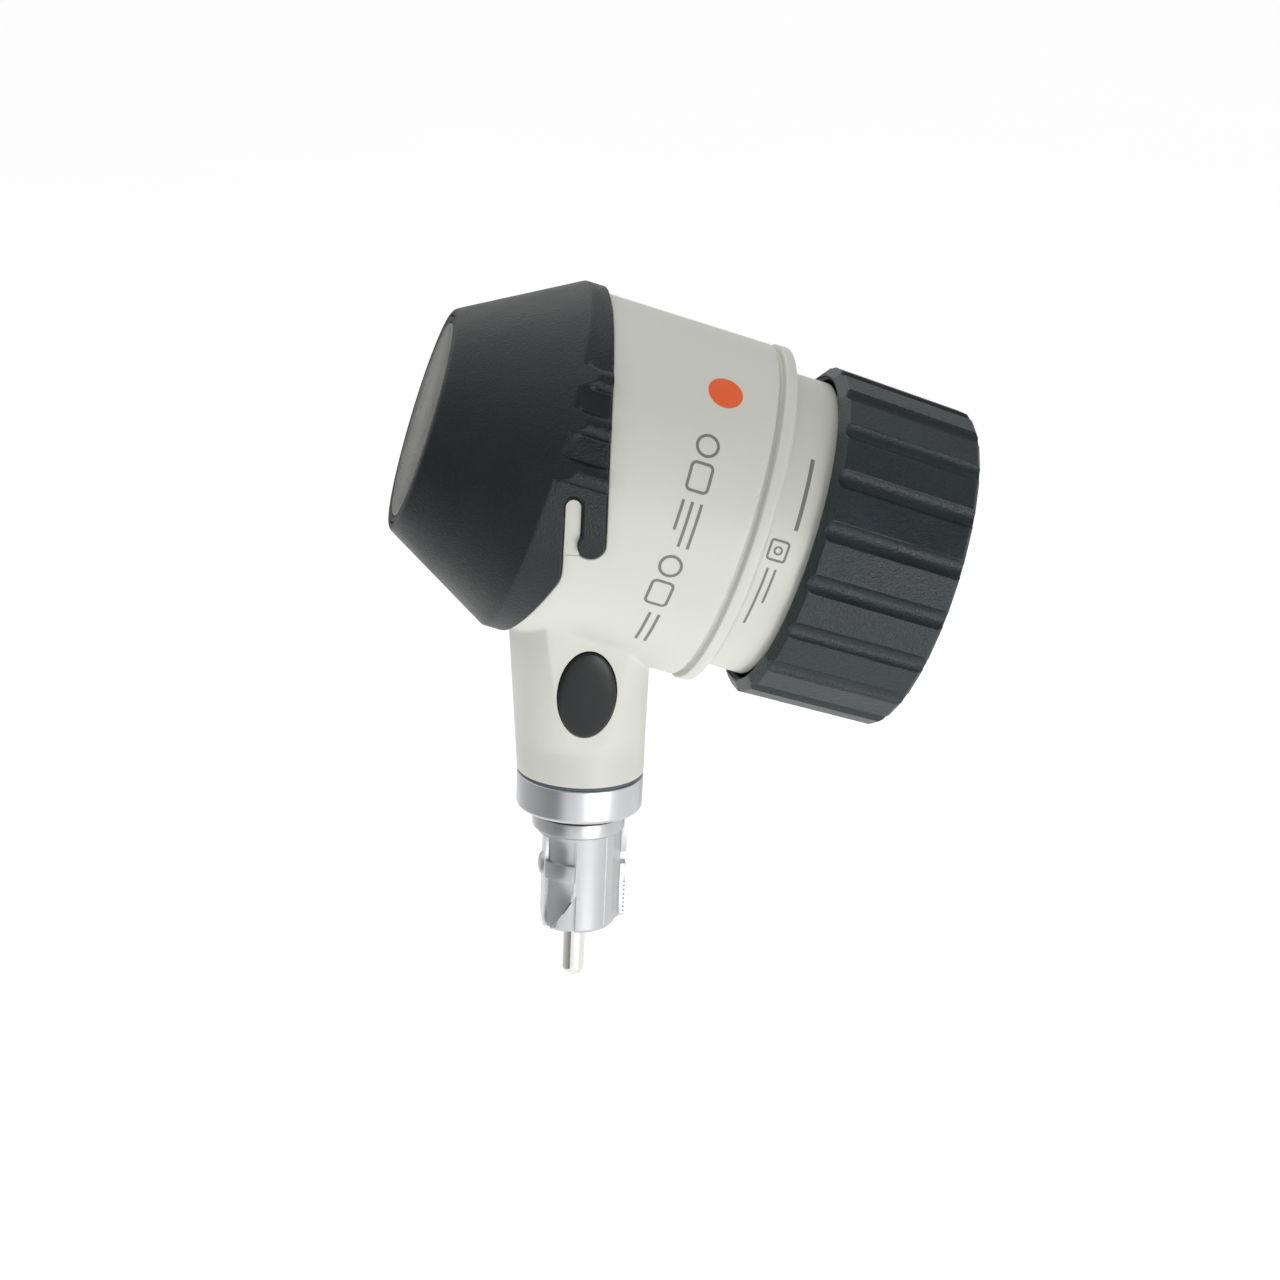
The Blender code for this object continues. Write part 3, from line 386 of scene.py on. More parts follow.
def contact_cap(mat):
    heights = np.array(cap_section())
    columns, band_start = heights[:, 0], CAP_GIRTH_S + heights[:, 1] / CAP_SLOPE + 0.6
    points, faces = cap_front(columns, heights, band_start)
    near = front_line(CAP_R, 0.0, cap_hook_line(), columns[columns >= 0], math.pi)
    edge = [(-u, s) for u, s in reversed(near)] + near[1:]
    side = resampled([(columns[-1], band_start[-1]), edge[-1]], 0.5)
    far_side = [(-u, s) for u, s in reversed(side)]
    loop = list(zip(columns, band_start)) + side[1:] + list(reversed(edge))[1:] + far_side[1:-1]
    raised = (heights[:, 1] > 0) | (np.roll(heights[:, 1], 1) > 0)
    coarse = [u for i, u in enumerate(columns) if i % 2 == 0 or raised[i]]
    rows = np.arange(CAP_GIRTH_S + 1.0, 4.0, 0.55)
    inner = region_points(loop, [(list(reversed(edge)), (0.06, 0.13, 0.22, 0.32))], coarse, rows, 0.4)
    flat, tris = triangulated(loop, inner)
    drop = edge_drop(distance_to(flat, edge), CAP_EDGE)
    u, s = flat[:, 0], flat[:, 1]
    outer = on_cap(u, cap_outer(u, s, heights) - drop, s)
    inner_skin = on_cap(u, cap_inner_at(u, s), s)
    for skin in (outer, inner_skin):
        faces += (tris + len(points)).tolist()
        points = np.concatenate([points, skin])
    u, s = np.array(edge).T
    wall_out = on_cap(u, cap_outer(u, s, heights) - CAP_EDGE, s)
    wall_in = on_cap(u, cap_inner_at(u, s), s)
    faces += grid_faces(2, len(edge), wrap_columns=False, start=len(points))
    points = np.concatenate([points, wall_out, wall_in])
    return piece("cap_shell", points, faces, OPTIC, mat)


def cap_front(columns, heights, band_start):
    """The cone, its crease, the rim, the glass seat and the inside up to the band, as one grid."""
    shelf = CAP_FRONT + GLASS_THICK + 0.3
    inside_s, corner_s, cone_s = -14.0, -21.5, -26.0
    hole_r, seat_r = 13.9, 16.45
    seat = [
        (float(cap_inner(inside_s)), inside_s),
        (float(cap_inner(corner_s)), corner_s),
        (hole_r, corner_s - 1.1),
        (hole_r, shelf),
        (seat_r, shelf),
        (seat_r, CAP_FRONT),
        (CAP_RIM_R - 0.5, CAP_FRONT),
        (CAP_RIM_R + 0.02, CAP_RIM_S + 0.1),
        (cone_radius(cone_s), cone_s),
    ]
    rows = []
    for share in (1.0, 0.5):
        s = corner_s + (band_start - corner_s) * share
        rows.append(on_cap(columns, cap_inner(s), s))
    for r, s in rounded(seat, 0.22, False, 4):
        rows.append(on_cap(columns, np.full(len(columns), r), s))
    crease = band_start - 0.6
    outside = [cone_s + (crease - cone_s) * share for share in np.linspace(0.06, 0.97, 22)]
    outside += [crease + shift for shift in (-0.3, -0.18, -0.08, 0.0, 0.08, 0.18, 0.3, 0.45, 0.6)]
    rows += [on_cap(columns, cap_outer(columns, s, heights), s) for s in outside]
    return np.concatenate(rows), grid_faces(len(rows), len(columns), wrap_columns=False)


# --- Housing ---


def facet_depth(z):
    return FACET_Y + FACET_SLOPE * (z - FACET_Z)


def neck_point(a, z):
    """A point of the neck's switch-side half: a runs from 0 at the right to pi at the left."""
    left, right, depth = (NECK_R + growth * (z - COUPLING_TOP) for growth in NECK_WIDENS)
    flare = FACET_Y - 0.12 + 0.40 * (z - FACET_Z - 0.3)
    depth = -float(softmin(-depth, -flare, 0.12))
    x = (right if a < math.pi / 2 else left) * math.cos(a)
    facet = facet_depth(z) + 0.25 * max(12.2 - z, 0)
    soft = 0.05 + 0.02 * max(34 - z, 0) if a < math.pi / 2 else 0.05
    y = float(softmin(depth * math.sin(a), facet, np.clip(0.25 * (depth - facet), 0.02, soft)))
    seam = edge_drop(max(y - HALF_SEAM, 0.0), SEAM_ROUND)
    x -= math.copysign(float(seam), x) if y < HALF_SEAM + SEAM_ROUND else 0.0
    return Vector((x, -max(y, HALF_SEAM), z))


def neck_meets_body(a):
    """The height at which the neck's outside reaches the body's cylinder, found by halving."""
    low, high = 12.0, 50.0
    for _ in range(40):
        mid = (low + high) / 2
        p = neck_point(a, mid)
        up, _ = optical_from_row(p.x, mid)
        low, high = (mid, high) if math.hypot(up, p.y) > BODY_R else (low, mid)
    return (low + high) / 2


def neck_angles():
    seam = [math.asin((HALF_SEAM + e) / NECK_R) for e in (0.0, 0.025, 0.05, 0.075, SEAM_ROUND, 0.2)]
    middle = np.linspace(seam[-1] + 0.03, math.pi - seam[-1] - 0.03, 118)
    return seam + list(middle) + [math.pi - a for a in reversed(seam)]


def flat_on_body(p):
    """(arc length, place along the axis) of a row-frame point, on the body's cylinder."""
    up, along = optical_from_row(p.x, p.z)
    return BODY_R * math.atan2(-p.y, up), along


def body_point(u, s, drop=0.0):
    angle, radius = u / BODY_R, BODY_R - drop
    return OPTIC @ Vector((radius * math.cos(angle), radius * math.sin(angle), s))


def on_seam(row):
    """The row moved straight into the plane where the shells meet."""
    return [Vector((p.x, -HALF_SEAM, p.z)) for p in row]


def short_of_seam(p):
    return Vector((p.x, min(p.y, -HALF_SEAM), p.z))


def neck_and_fillet(angles):
    """The neck's grid with the small fillet at the body, and the fillet's edge on the body."""
    fillet, base_edge = 0.55, 0.12
    meets = [neck_meets_body(a) for a in angles]
    crossing = [neck_point(a, z) for a, z in zip(angles, meets)]
    on_body = offset_line([flat_on_body(p) for p in crossing], -fillet)
    end_u = BODY_R * (math.pi - math.asin(HALF_SEAM / BODY_R))
    on_body[0][0] = on_body[-1][0] = end_u
    rows = []
    for level in (0.0, 0.05, base_edge):
        keep = 1 - float(edge_drop(level, base_edge)) / NECK_R
        ring = [neck_point(a, NECK_BOTTOM + level) for a in angles]
        rows.append([short_of_seam(Vector((p.x * keep, p.y * keep, p.z))) for p in ring])
    for share in np.linspace(0.02, 1.0, 70):
        levels = [NECK_BOTTOM + (z - fillet - NECK_BOTTOM) * share for z in meets]
        rows.append([neck_point(a, z) for a, z in zip(angles, levels)])
    for t in (0.2, 0.4, 0.6, 0.8, 1.0):
        row = []
        for a, z, cross, edge in zip(angles, meets, crossing, on_body):
            drop = float(edge_drop(max(end_u - edge[0], 0), SEAM_ROUND))
            start, end = neck_point(a, z - fillet), body_point(*edge, drop)
            row.append(short_of_seam((1 - t) ** 2 * start + 2 * t * (1 - t) * cross + t**2 * end))
        rows.append(row)
    for row in rows:
        for end in (0, -1):
            row[end].y = -HALF_SEAM
    return rows, [tuple(p) for p in on_body]


def rear_profile():
    """From the body's rear over groove, bead and barrel to the barrel's inner edge: (radius, s)."""
    profile = [
        (BODY_R, REAR_SKIN_S),
        (BODY_R, BODY_END_S),
        (GROOVE_R, BODY_END_S + 0.1),
        (GROOVE_R, BODY_END_S + 0.8),
        (BEAD_R, BODY_END_S + 1.0),
        (BEAD_R, BEAD_END_S - 0.75),
        (BEAD_R - 1.5, BEAD_END_S),
        (BARREL_R, BEAD_END_S + 0.05),
        (BARREL_R, BARREL_END_S),
        (BARREL_BORE_R - 0.6, BARREL_END_S),
    ]
    return rounded(profile, 0.22, False, 4)


def housing_half():
    """One shell before its inside is cut: its outside, open only in the plane where the shells meet."""
    seam_angle = math.asin(HALF_SEAM / BODY_R)
    start_u, end_u = BODY_R * seam_angle, BODY_R * (math.pi - seam_angle)
    inner_steps = [start_u + e for e in (0.03, 0.06, SEAM_ROUND, 0.25)]
    columns = [start_u] + inner_steps + list(np.linspace(start_u + 0.6, end_u - 0.6, 150))
    columns += [end_u - e for e in (0.25, SEAM_ROUND, 0.06, 0.03, 0.0)]
    angles = neck_angles()
    neck_rows, hole = neck_and_fillet(angles)

    front = front_line(BODY_R, SEAM_GAP, housing_hook_line(), columns, end_u / BODY_R)
    rear = [(u, REAR_SKIN_S) for u in columns]
    top_seam = resampled([(start_u, REAR_SKIN_S), front[0]], 0.5)
    low_front = resampled([front[-1], hole[-1]], 0.4)
    low_rear = resampled([hole[0], rear[-1]], 0.5)
    loop = front + low_front[1:] + list(reversed(hole))[1:]
    loop += low_rear[1:] + list(reversed(rear))[1:] + top_seam[1:-1]
    rings = [(front, (0.05, 0.11, 0.18, 0.26))]
    middle_rows = np.arange(-12.0, REAR_SKIN_S - 0.2, 0.6)
    seam_rows = np.arange(-6.0, REAR_SKIN_S - 0.2, 0.5)
    inner = region_points(loop, rings, columns[5:-5], middle_rows, 0.4)
    inner += region_points(loop, [], columns[1:5] + columns[-5:-1], seam_rows, 0.02)
    flat, tris = triangulated(loop, inner)
    seam_distance = np.minimum(flat[:, 0] - start_u, end_u - flat[:, 0])
    drop = np.maximum(edge_drop(distance_to(flat, front), FRONT_EDGE), edge_drop(seam_distance, SEAM_ROUND))
    skin = [short_of_seam(body_point(u, s, d)) for (u, s), d in zip(flat, drop)]
    for p, (u, _) in zip(skin, flat):
        if min(u - start_u, end_u - u) < 1e-4:
            p.y = -HALF_SEAM
    points, faces = list(skin), tris.tolist()

    def add_grid(rows):
        faces.extend(grid_faces(len(rows), len(rows[0]), wrap_columns=False, start=len(points)))
        for row in rows:
            points.extend(row)

    add_grid(neck_rows)
    base = [Vector((p.x, p.y, NECK_BOTTOM)) for p in neck_rows[0]]
    add_grid([base, on_seam(base)])
    rear_rows = []
    for r, s in rear_profile():
        row = []
        for u in columns:
            seam = float(edge_drop(min(u - start_u, end_u - u), SEAM_ROUND))
            angle = u / BODY_R
            p = OPTIC @ Vector(((r - seam) * math.cos(angle), (r - seam) * math.sin(angle), s))
            row.append(short_of_seam(p))
        row[0].y = row[-1].y = -HALF_SEAM
        rear_rows.append(row)
    add_grid(rear_rows)
    add_grid([rear_rows[-1], on_seam(rear_rows[-1])])
    edge = [body_point(u, s, FRONT_EDGE) for u, s in front]
    add_grid([edge, on_seam(edge)])
    return points, faces


def closed_solid(name, points, faces, mirror=False):
    """Welds the faces and fills the flat opening that is left in the seam's plane."""
    mesh = bpy.data.meshes.new(name)
    world = np.array([tuple(p) for p in points]) * MM
    if mirror:
        world[:, 1] *= -1
    mesh.from_pydata(world.tolist(), [], faces)
    bm = bmesh.new()
    bm.from_mesh(mesh)
    bmesh.ops.remove_doubles(bm, verts=bm.verts, dist=4e-6)
    bmesh.ops.dissolve_degenerate(bm, edges=bm.edges, dist=1e-7)
    bmesh.ops.delete(bm, geom=[e for e in bm.edges if not e.link_faces], context="EDGES")
    open_edges = [e for e in bm.edges if len(e.link_faces) == 1]
    bmesh.ops.holes_fill(bm, edges=open_edges, sides=0)
    bmesh.ops.recalc_face_normals(bm, faces=bm.faces)
    bm.to_mesh(mesh)
    bm.free()
    return finished(name, mesh, None)


def cut(obj, cutter, operation="DIFFERENCE"):
    """Applies one exact boolean to the mesh and removes its cutter."""
    modifier = obj.modifiers.new("cut", "BOOLEAN")
    modifier.object, modifier.operation, modifier.solver = cutter, operation, "EXACT"
    graph = bpy.context.evaluated_depsgraph_get()
    mesh = bpy.data.meshes.new_from_object(obj.evaluated_get(graph))
    obj.modifiers.clear()
    obj.data = mesh
    bpy.data.objects.remove(cutter)
    return obj


def tidied(obj, mat):
    """Merges what the booleans left doubled, and gives the result its material."""
    bm = bmesh.new()
    bm.from_mesh(obj.data)
    bmesh.ops.remove_doubles(bm, verts=bm.verts, dist=1.5e-6)
    bmesh.ops.dissolve_degenerate(bm, edges=bm.edges, dist=1e-7)
    bm.to_mesh(obj.data)
    bm.free()
    shaded(obj.data, mat, CUT_SHARP)
    return obj


def prism(name, outline, low, high, place, plane="XY"):
    """An outline of (u, v) points drawn out along the plane's normal."""
    def at(u, v, w):
        return (u, v, w) if plane == "XY" else (u, w, v)
    count = len(outline)
    points = [at(u, v, w) for w in (low, high) for u, v in outline]
    faces = grid_faces(2, count) + [tuple(range(count)), tuple(range(count, 2 * count))]
    return piece(name, points, faces, place, None)


def skin_patch(name, outline, r_in, r_out, side):
    """A side-view outline laid on the optical cylinder: side is 1 at the switch and -1 at the far side."""
    loop = resampled(list(outline) + [outline[0]], 0.4)[:-1]
    across, up = (np.arange(low, high, 0.45) for low, high in zip(np.min(loop, axis=0), np.max(loop, axis=0)))
    inner = region_points(loop, [], across, up, 0.15)
    flat, tris = triangulated(loop, inner)

    def laid(line, radius):
        seats = [optical_from_row(x, z) for x, z in line]
        return [(up, side * math.sqrt(radius**2 - up**2), along) for up, along in seats]
    walls = laid(loop, r_in) + laid(loop, r_out)
    faces = grid_faces(2, len(loop))
    for k in range(2):
        faces += (tris + len(walls) + k * len(flat)).tolist()
    return piece(name, walls + laid(flat, r_in) + laid(flat, r_out), faces, OPTIC, None)


def housing_shell(name, mat, mirror):
    points, faces = housing_half()
    shell = closed_solid(name, points, faces, mirror)
    if not mirror:
        cut(shell, prism("button_hole", button_outline(0.2, 72), -9, 6, BUTTON))
    cut(shell, spigot("spigot", mirror), "UNION")
    cut(shell, tongue("tongue", mirror), "UNION")
    cavity = [(0, -32), (CAVITY_FRONT_R, -32), (CAVITY_FRONT_R, 6.0), (CAVITY_R, 7.3)]
    cavity += [(CAVITY_R, 18.0), (BARREL_BORE_R, 18.0), (BARREL_BORE_R, 40), (0, 40)]
    cut(shell, turned("cavity", cavity, OPTIC, None, 0.0, 96))
    bore = [(0, 0), (SHANK_HOLE_R, 0), (SHANK_HOLE_R, NECK_FLOOR)]
    bore += [(NECK_BORE_R, NECK_FLOOR), (NECK_BORE_R, 42), (0, 42)]
    cut(shell, turned("neck_bore", bore, ROW, None, 0.0, 64))
    return tidied(shell, mat)


BUTTON_LEAN = math.atan(FACET_SLOPE)
BUTTON = Matrix.Translation((BUTTON_X, -facet_depth(BUTTON_Z), BUTTON_Z)) @ Matrix(
    (
        (1, 0, 0),
        (0, -math.sin(BUTTON_LEAN), math.cos(BUTTON_LEAN)),
        (0, -math.cos(BUTTON_LEAN), -math.sin(BUTTON_LEAN)),
    )
).transposed().to_4x4()


def button_outline(extra, steps):
    angles = [2 * math.pi * i / steps for i in range(steps)]
    return [((BUTTON_HALF_W + extra) * math.cos(a), (BUTTON_HALF_H + extra) * math.sin(a)) for a in angles]


def half_space(name, mirror):
    low, high = (HALF_SEAM + CLEAR_OF_PLANE, 60) if mirror else (-60, -HALF_SEAM - CLEAR_OF_PLANE)
    outline = [(-60, -40), (80, -40), (80, 120), (-60, 120)]
    return prism(name, outline, low, high, ROW, "XZ")


def spigot(name, mirror):
    """The skirt that stands in from the housing's outside and fits into the cap, as one half."""
    shoulder_s, inside_r = -8.2, CAVITY_FRONT_R - 0.8
    nose_s = shoulder_s - (SPIGOT_R - inside_r) / CAP_SLOPE
    skirt = [(inside_r, nose_s), (SPIGOT_R, shoulder_s), (SPIGOT_R, 12), (inside_r, 12)]
    made = turned(name, skirt, OPTIC, None, 0.15)
    line = slant_line(SEAM_GAP) + [(SLOT_LEFT + SEAM_GAP, 100.0)]
    outline = line + [(-60, line[-1][1]), (-60, line[0][1])]
    width = [(-60, -60), (60, -60), (60, 140), (-60, 140)]
    cut(made, prism("spigot_front", outline, -40, 40, ROW, "XZ"))
    cut(made, prism("spigot_width", width, -SPIGOT_HALF_WIDTH, SPIGOT_HALF_WIDTH, ROW, "XZ"), "INTERSECT")
    return cut(made, half_space("spigot_half", mirror), "INTERSECT")


def tongue(name, mirror):
    """The piece of housing that fills the cap's slot beside the hook."""
    left, right = SLOT_LEFT + SEAM_GAP + CLEAR_OF_PLANE, SLOT_RIGHT - SEAM_GAP
    half = (right - left) / 2
    outline = [(left, 46.0), (right, 46.0)] + arc(((left + right) / 2, SLOT_TOP_Z - 0.45), half, 0, 180, 24)
    return skin_patch(name, outline, 23.2, TONGUE_R, -1 if mirror else 1)


def toggle_button(mat):
    """A domed oval. Local Z points out of the facet, and local Y up along it."""
    steps, rings = 96, []
    foot, crown = -2.7, 0.88
    for height in (foot, -1.0, 0.1):
        rings.append([(u, v, height) for u, v in button_outline(0.0, steps)])
    for share in (0.997, 0.99, 0.975, 0.95, 0.92, 0.88, 0.82, 0.74, 0.64, 0.52, 0.39, 0.26, 0.13, 0.05):
        height = 0.14 + 0.74 * (1 - share**2.8) ** 0.52
        rings.append([(u * share, v * share, height) for u, v in button_outline(0.0, steps)])
    points = [p for ring in rings for p in ring] + [(0, 0, crown), (0, 0, foot)]
    faces = grid_faces(len(rings), steps)
    last = (len(rings) - 1) * steps
    faces += [(last + i, last + (i + 1) % steps, len(points) - 2) for i in range(steps)]
    faces += [(i, (i + 1) % steps, len(points) - 1) for i in range(steps)]
    return piece("button_dome", points, faces, BUTTON, mat)


# --- Focus ring ---


def ring_outside(degrees, s):
    """Distance from the axis to the ring's outside: flats, chamfers, and concave flutes with ball ends."""
    pitch = 360 / FLUTES
    delta = (degrees - FLUTE_PHASE + pitch / 2) % pitch - pitch / 2
    share = max(s - RING_EDGE_S, 0) / (RING_REAR_S - RING_EDGE_S)
    taper = (RING_FRONT_R - RING_REAR_R) * share
    flat = RING_FRONT_R - taper
    flat = softmin(flat, RING_FRONT_R - 1.25 * (RING_EDGE_S - s), 0.05)
    flat = softmin(flat, RING_REAR_R + REAR_CHAMFER + (RING_REAR_S - REAR_CHAMFER - s) - REAR_CHAMFER, 0.06)
    flat /= math.cos(math.radians(pitch / 2 - abs(delta)))
    centre = RING_FRONT_R - taper + FLUTE_CENTRE
    across = centre * math.sin(math.radians(delta))
    off = math.hypot(across, max(FLUTE_END_S - s, 0))
    last = 1.62  # beyond it the flute goes on as a straight slope
    level = math.sqrt(FLUTE_R**2 - last**2)
    deep = math.sqrt(FLUTE_R**2 - min(off, last) ** 2) - max(off - last, 0) * last / level
    return float(softmin(flat, centre * math.cos(math.radians(delta)) - deep, 0.045))


def focus_ring(mat):
    across = (0, 0.6, 1.3, 2.0, 2.5, 2.9, 3.15, 3.35, 3.55, 3.8, 4.2, 5.2, 7.0)
    pitch = 360 / FLUTES
    deltas = [-d for d in reversed(across[1:])] + list(across) + [pitch / 2]
    angles = [FLUTE_PHASE + pitch * i + d for i in range(FLUTES) for d in deltas]
    front = (30.8, 30.83, 30.9, 31.0, 31.15, 31.35, 31.55, 31.75)
    front += (31.88, 31.96, 32.02, 32.08, 32.16, 32.3, 32.5, 32.75)
    middle = np.linspace(33.0, 52.4, 16)
    rear = (52.7, 52.88, 52.98, 53.06, 53.16, 53.3, 53.45, 53.56)
    rows = [[(ring_outside(a, s), a, s) for a in angles] for s in (*front, *middle, *rear)]
    seat_r = EYECUP_R + 0.3
    inner = [
        (RING_REAR_R - 0.72, RING_REAR_S),
        (seat_r, RING_REAR_S),
        (seat_r, EYE_SEAT_S),
        (EYE_HOLE_R, EYE_SEAT_S),
        (EYE_HOLE_R, EYE_WALL_S),
        (RING_BORE_R, EYE_WALL_S),
        (RING_BORE_R, RING_FRONT_S + 0.7),
        (RING_BORE_R + 0.42, RING_FRONT_S + 0.25),
        (RING_BORE_R + 0.45, RING_FRONT_S),
    ]
    rows += [[(r, a, s) for a in angles] for r, s in rounded(inner, 0.12, False)]
    points = []
    for row in rows:
        for r, a, s in row:
            points.append((r * math.cos(math.radians(a)), r * math.sin(math.radians(a)), s))
    return piece("focus_grip_ring", points, grid_faces(len(rows), len(angles), wrap_rows=True), OPTIC, mat)


# --- Plug and marks ---


def sector(name, r_in, start, end, low, high):
    outline = arc((0, 0), 9.0, start, end, 16) + arc((0, 0), r_in, end, start, 16)
    return prism(name, outline, low, high, ROW)


def block(name, low, high):
    outline = [(low[0], low[1]), (high[0], low[1]), (high[0], high[1]), (low[0], high[1])]
    return prism(name, outline, low[2], high[2], ROW)


def bayonet_plug(mat):
    profile = [(0, PLUG_BOTTOM), (PLUG_R - 0.5, PLUG_BOTTOM), (PLUG_R, PLUG_BOTTOM + 0.6), (PLUG_R, -3.75)]
    profile += [(PLUG_COLLAR_R - 0.35, -3.6), (PLUG_COLLAR_R, -3.3), (PLUG_COLLAR_R, -1.1)]
    profile += [(SHANK_R, -1.0), (SHANK_R, 12.0), (0, 12.0)]
    plug = turned("plug_body", profile, ROW, None, 0.0, 96)
    rib_side = [(6.9, 1.1), (4.3, 4.9), (3.2, 4.9)]
    wedge = [(x, -y) for x, y in reversed(rib_side)] + [(7.8, -0.9), (7.8, 1.1)] + rib_side
    cut(plug, prism("plug_rib", wedge, -18.8, -1.2, ROW), "UNION")
    cut(plug, block("rib_notch", (6.85, -3, -9.9), (9, 3, -7.9)))
    cut(plug, block("plug_flat", (-9, -9, PLUG_BOTTOM - 1), (-5.35, 9, -4.4)))
    relief = [(-0.5, -13.3), (-0.5, PLUG_BOTTOM - 1), (-4.8, PLUG_BOTTOM - 1)]
    cut(plug, sector("upper_pocket", 5.7, 212, 262, -8.4, -4.3))
    lower_pocket = sector("lower_pocket", 5.45, 211, 263, PLUG_BOTTOM - 1.5, -11.2)
    cut(plug, cut(lower_pocket, prism("pocket_end", relief, -10, 0, ROW, "XZ")))
    cut(plug, prism("plug_relief", relief, -9, -5.35, ROW, "XZ"))
    lug_place = Matrix.Translation((0, 1.0, -10.6)) @ Matrix.Rotation(-math.pi / 2, 4, "Y")
    lug = [(0, 4.9), (2.0, 4.9), (2.0, 5.4), (1.5, 5.85), (0.8, 6.07), (0, 6.13)]
    cut(plug, turned("plug_lug", lug, lug_place, None, 0.1, 48), "UNION")
    tooth_pitch = 0.72
    for i in range(8):
        low = -18.2 + tooth_pitch * i
        cut(plug, block(f"rib_tooth_{i}", (7.45, -3, low), (9, 3, low + 0.24)))
    cut(plug, turned("plug_bore", [(0, -30), (4.1, -30), (4.1, 20), (0, 20)], ROW, None, 0.0, 64))
    tidied(plug, mat)
    bevel = plug.modifiers.new("edges", "BEVEL")
    bevel.width, bevel.segments = 0.12 * MM, 2
    bevel.limit_method, bevel.angle_limit = "ANGLE", math.radians(38)
    graph = bpy.context.evaluated_depsgraph_get()
    mesh = bpy.data.meshes.new_from_object(plug.evaluated_get(graph))
    bpy.data.objects.remove(plug)
    return finished("plug_body", mesh, mat, FINE_SHARP)


PRINT_LOW, PRINT_HIGH = -0.04, 0.02  # how far printing reaches under and over its surface


def stroke(name, line, width, radius, mat, closed=False):
    """A printed line of (arc length, place along the axis) points on a cylinder, as a thin raised strip."""
    line = resampled(list(line) + ([line[0]] if closed else []), 0.35)
    if closed:
        line = line[:-1]
    here = np.array(line)
    along = np.roll(here, -1, axis=0) - np.roll(here, 1, axis=0)
    if not closed:
        along[0], along[-1] = here[1] - here[0], here[-1] - here[-2]
    along /= np.linalg.norm(along, axis=1, keepdims=True)
    across = np.stack([-along[:, 1], along[:, 0]], axis=1) * width / 2
    points = []
    for (u, s), (du, ds) in zip(here, across):
        for sign, height in ((1, PRINT_LOW), (1, PRINT_HIGH), (-1, PRINT_HIGH), (-1, PRINT_LOW)):
            r = radius + height
            a = (u + sign * du) / radius
            points.append((r * math.cos(a), r * math.sin(a), s + sign * ds))
    rows = len(here)
    faces = grid_faces(rows, 4, wrap_rows=closed)
    if not closed:
        faces += [(0, 1, 2, 3), tuple(range(4 * rows - 4, 4 * rows))]
    return piece(name, points, faces, OPTIC, mat, FINE_SHARP)


def disc(name, centre, size, radius, mat):
    """A printed dot on a cylinder."""
    rings = [(size - 0.03, PRINT_LOW), (size, 0.0), (size - 0.03, PRINT_HIGH)]
    rings += [(size * k, PRINT_HIGH) for k in (0.8, 0.6, 0.4, 0.2, 0.05)]
    steps, points = 48, []
    for reach, height in rings:
        for i in range(steps):
            t = 2 * math.pi * i / steps
            a = (centre[0] + reach * math.cos(t)) / radius
            r = radius + height
            points.append((r * math.cos(a), r * math.sin(a), centre[1] + reach * math.sin(t)))
    count = len(rings)
    ends = [tuple(range(k * steps, (k + 1) * steps)) for k in (0, count - 1)]
    faces = grid_faces(count, steps) + ends
    return piece(name, points, faces, OPTIC, mat, FINE_SHARP)


def loop_line(centre, half_u, half_s, corner, steps=6):
    """A rectangle with round corners, or a circle when corner is as large as both halves."""
    points = []
    for k, (sign_u, sign_s) in enumerate(((1, 1), (-1, 1), (-1, -1), (1, -1))):
        middle = (centre[0] + sign_u * (half_u - corner), centre[1] + sign_s * (half_s - corner))
        points += arc(middle, corner, 90 * k, 90 * k + 90, steps)
    return [p for i, p in enumerate(points) if i == 0 or math.dist(p, points[i - 1]) > 1e-6]


# --- Materials ---


def linear(rgb):
    """A colour given as screen values from 0 to 255."""
    return [(c / 255 / 12.92) if c <= 10 else ((c / 255 + 0.055) / 1.055) ** 2.4 for c in rgb] + [1.0]


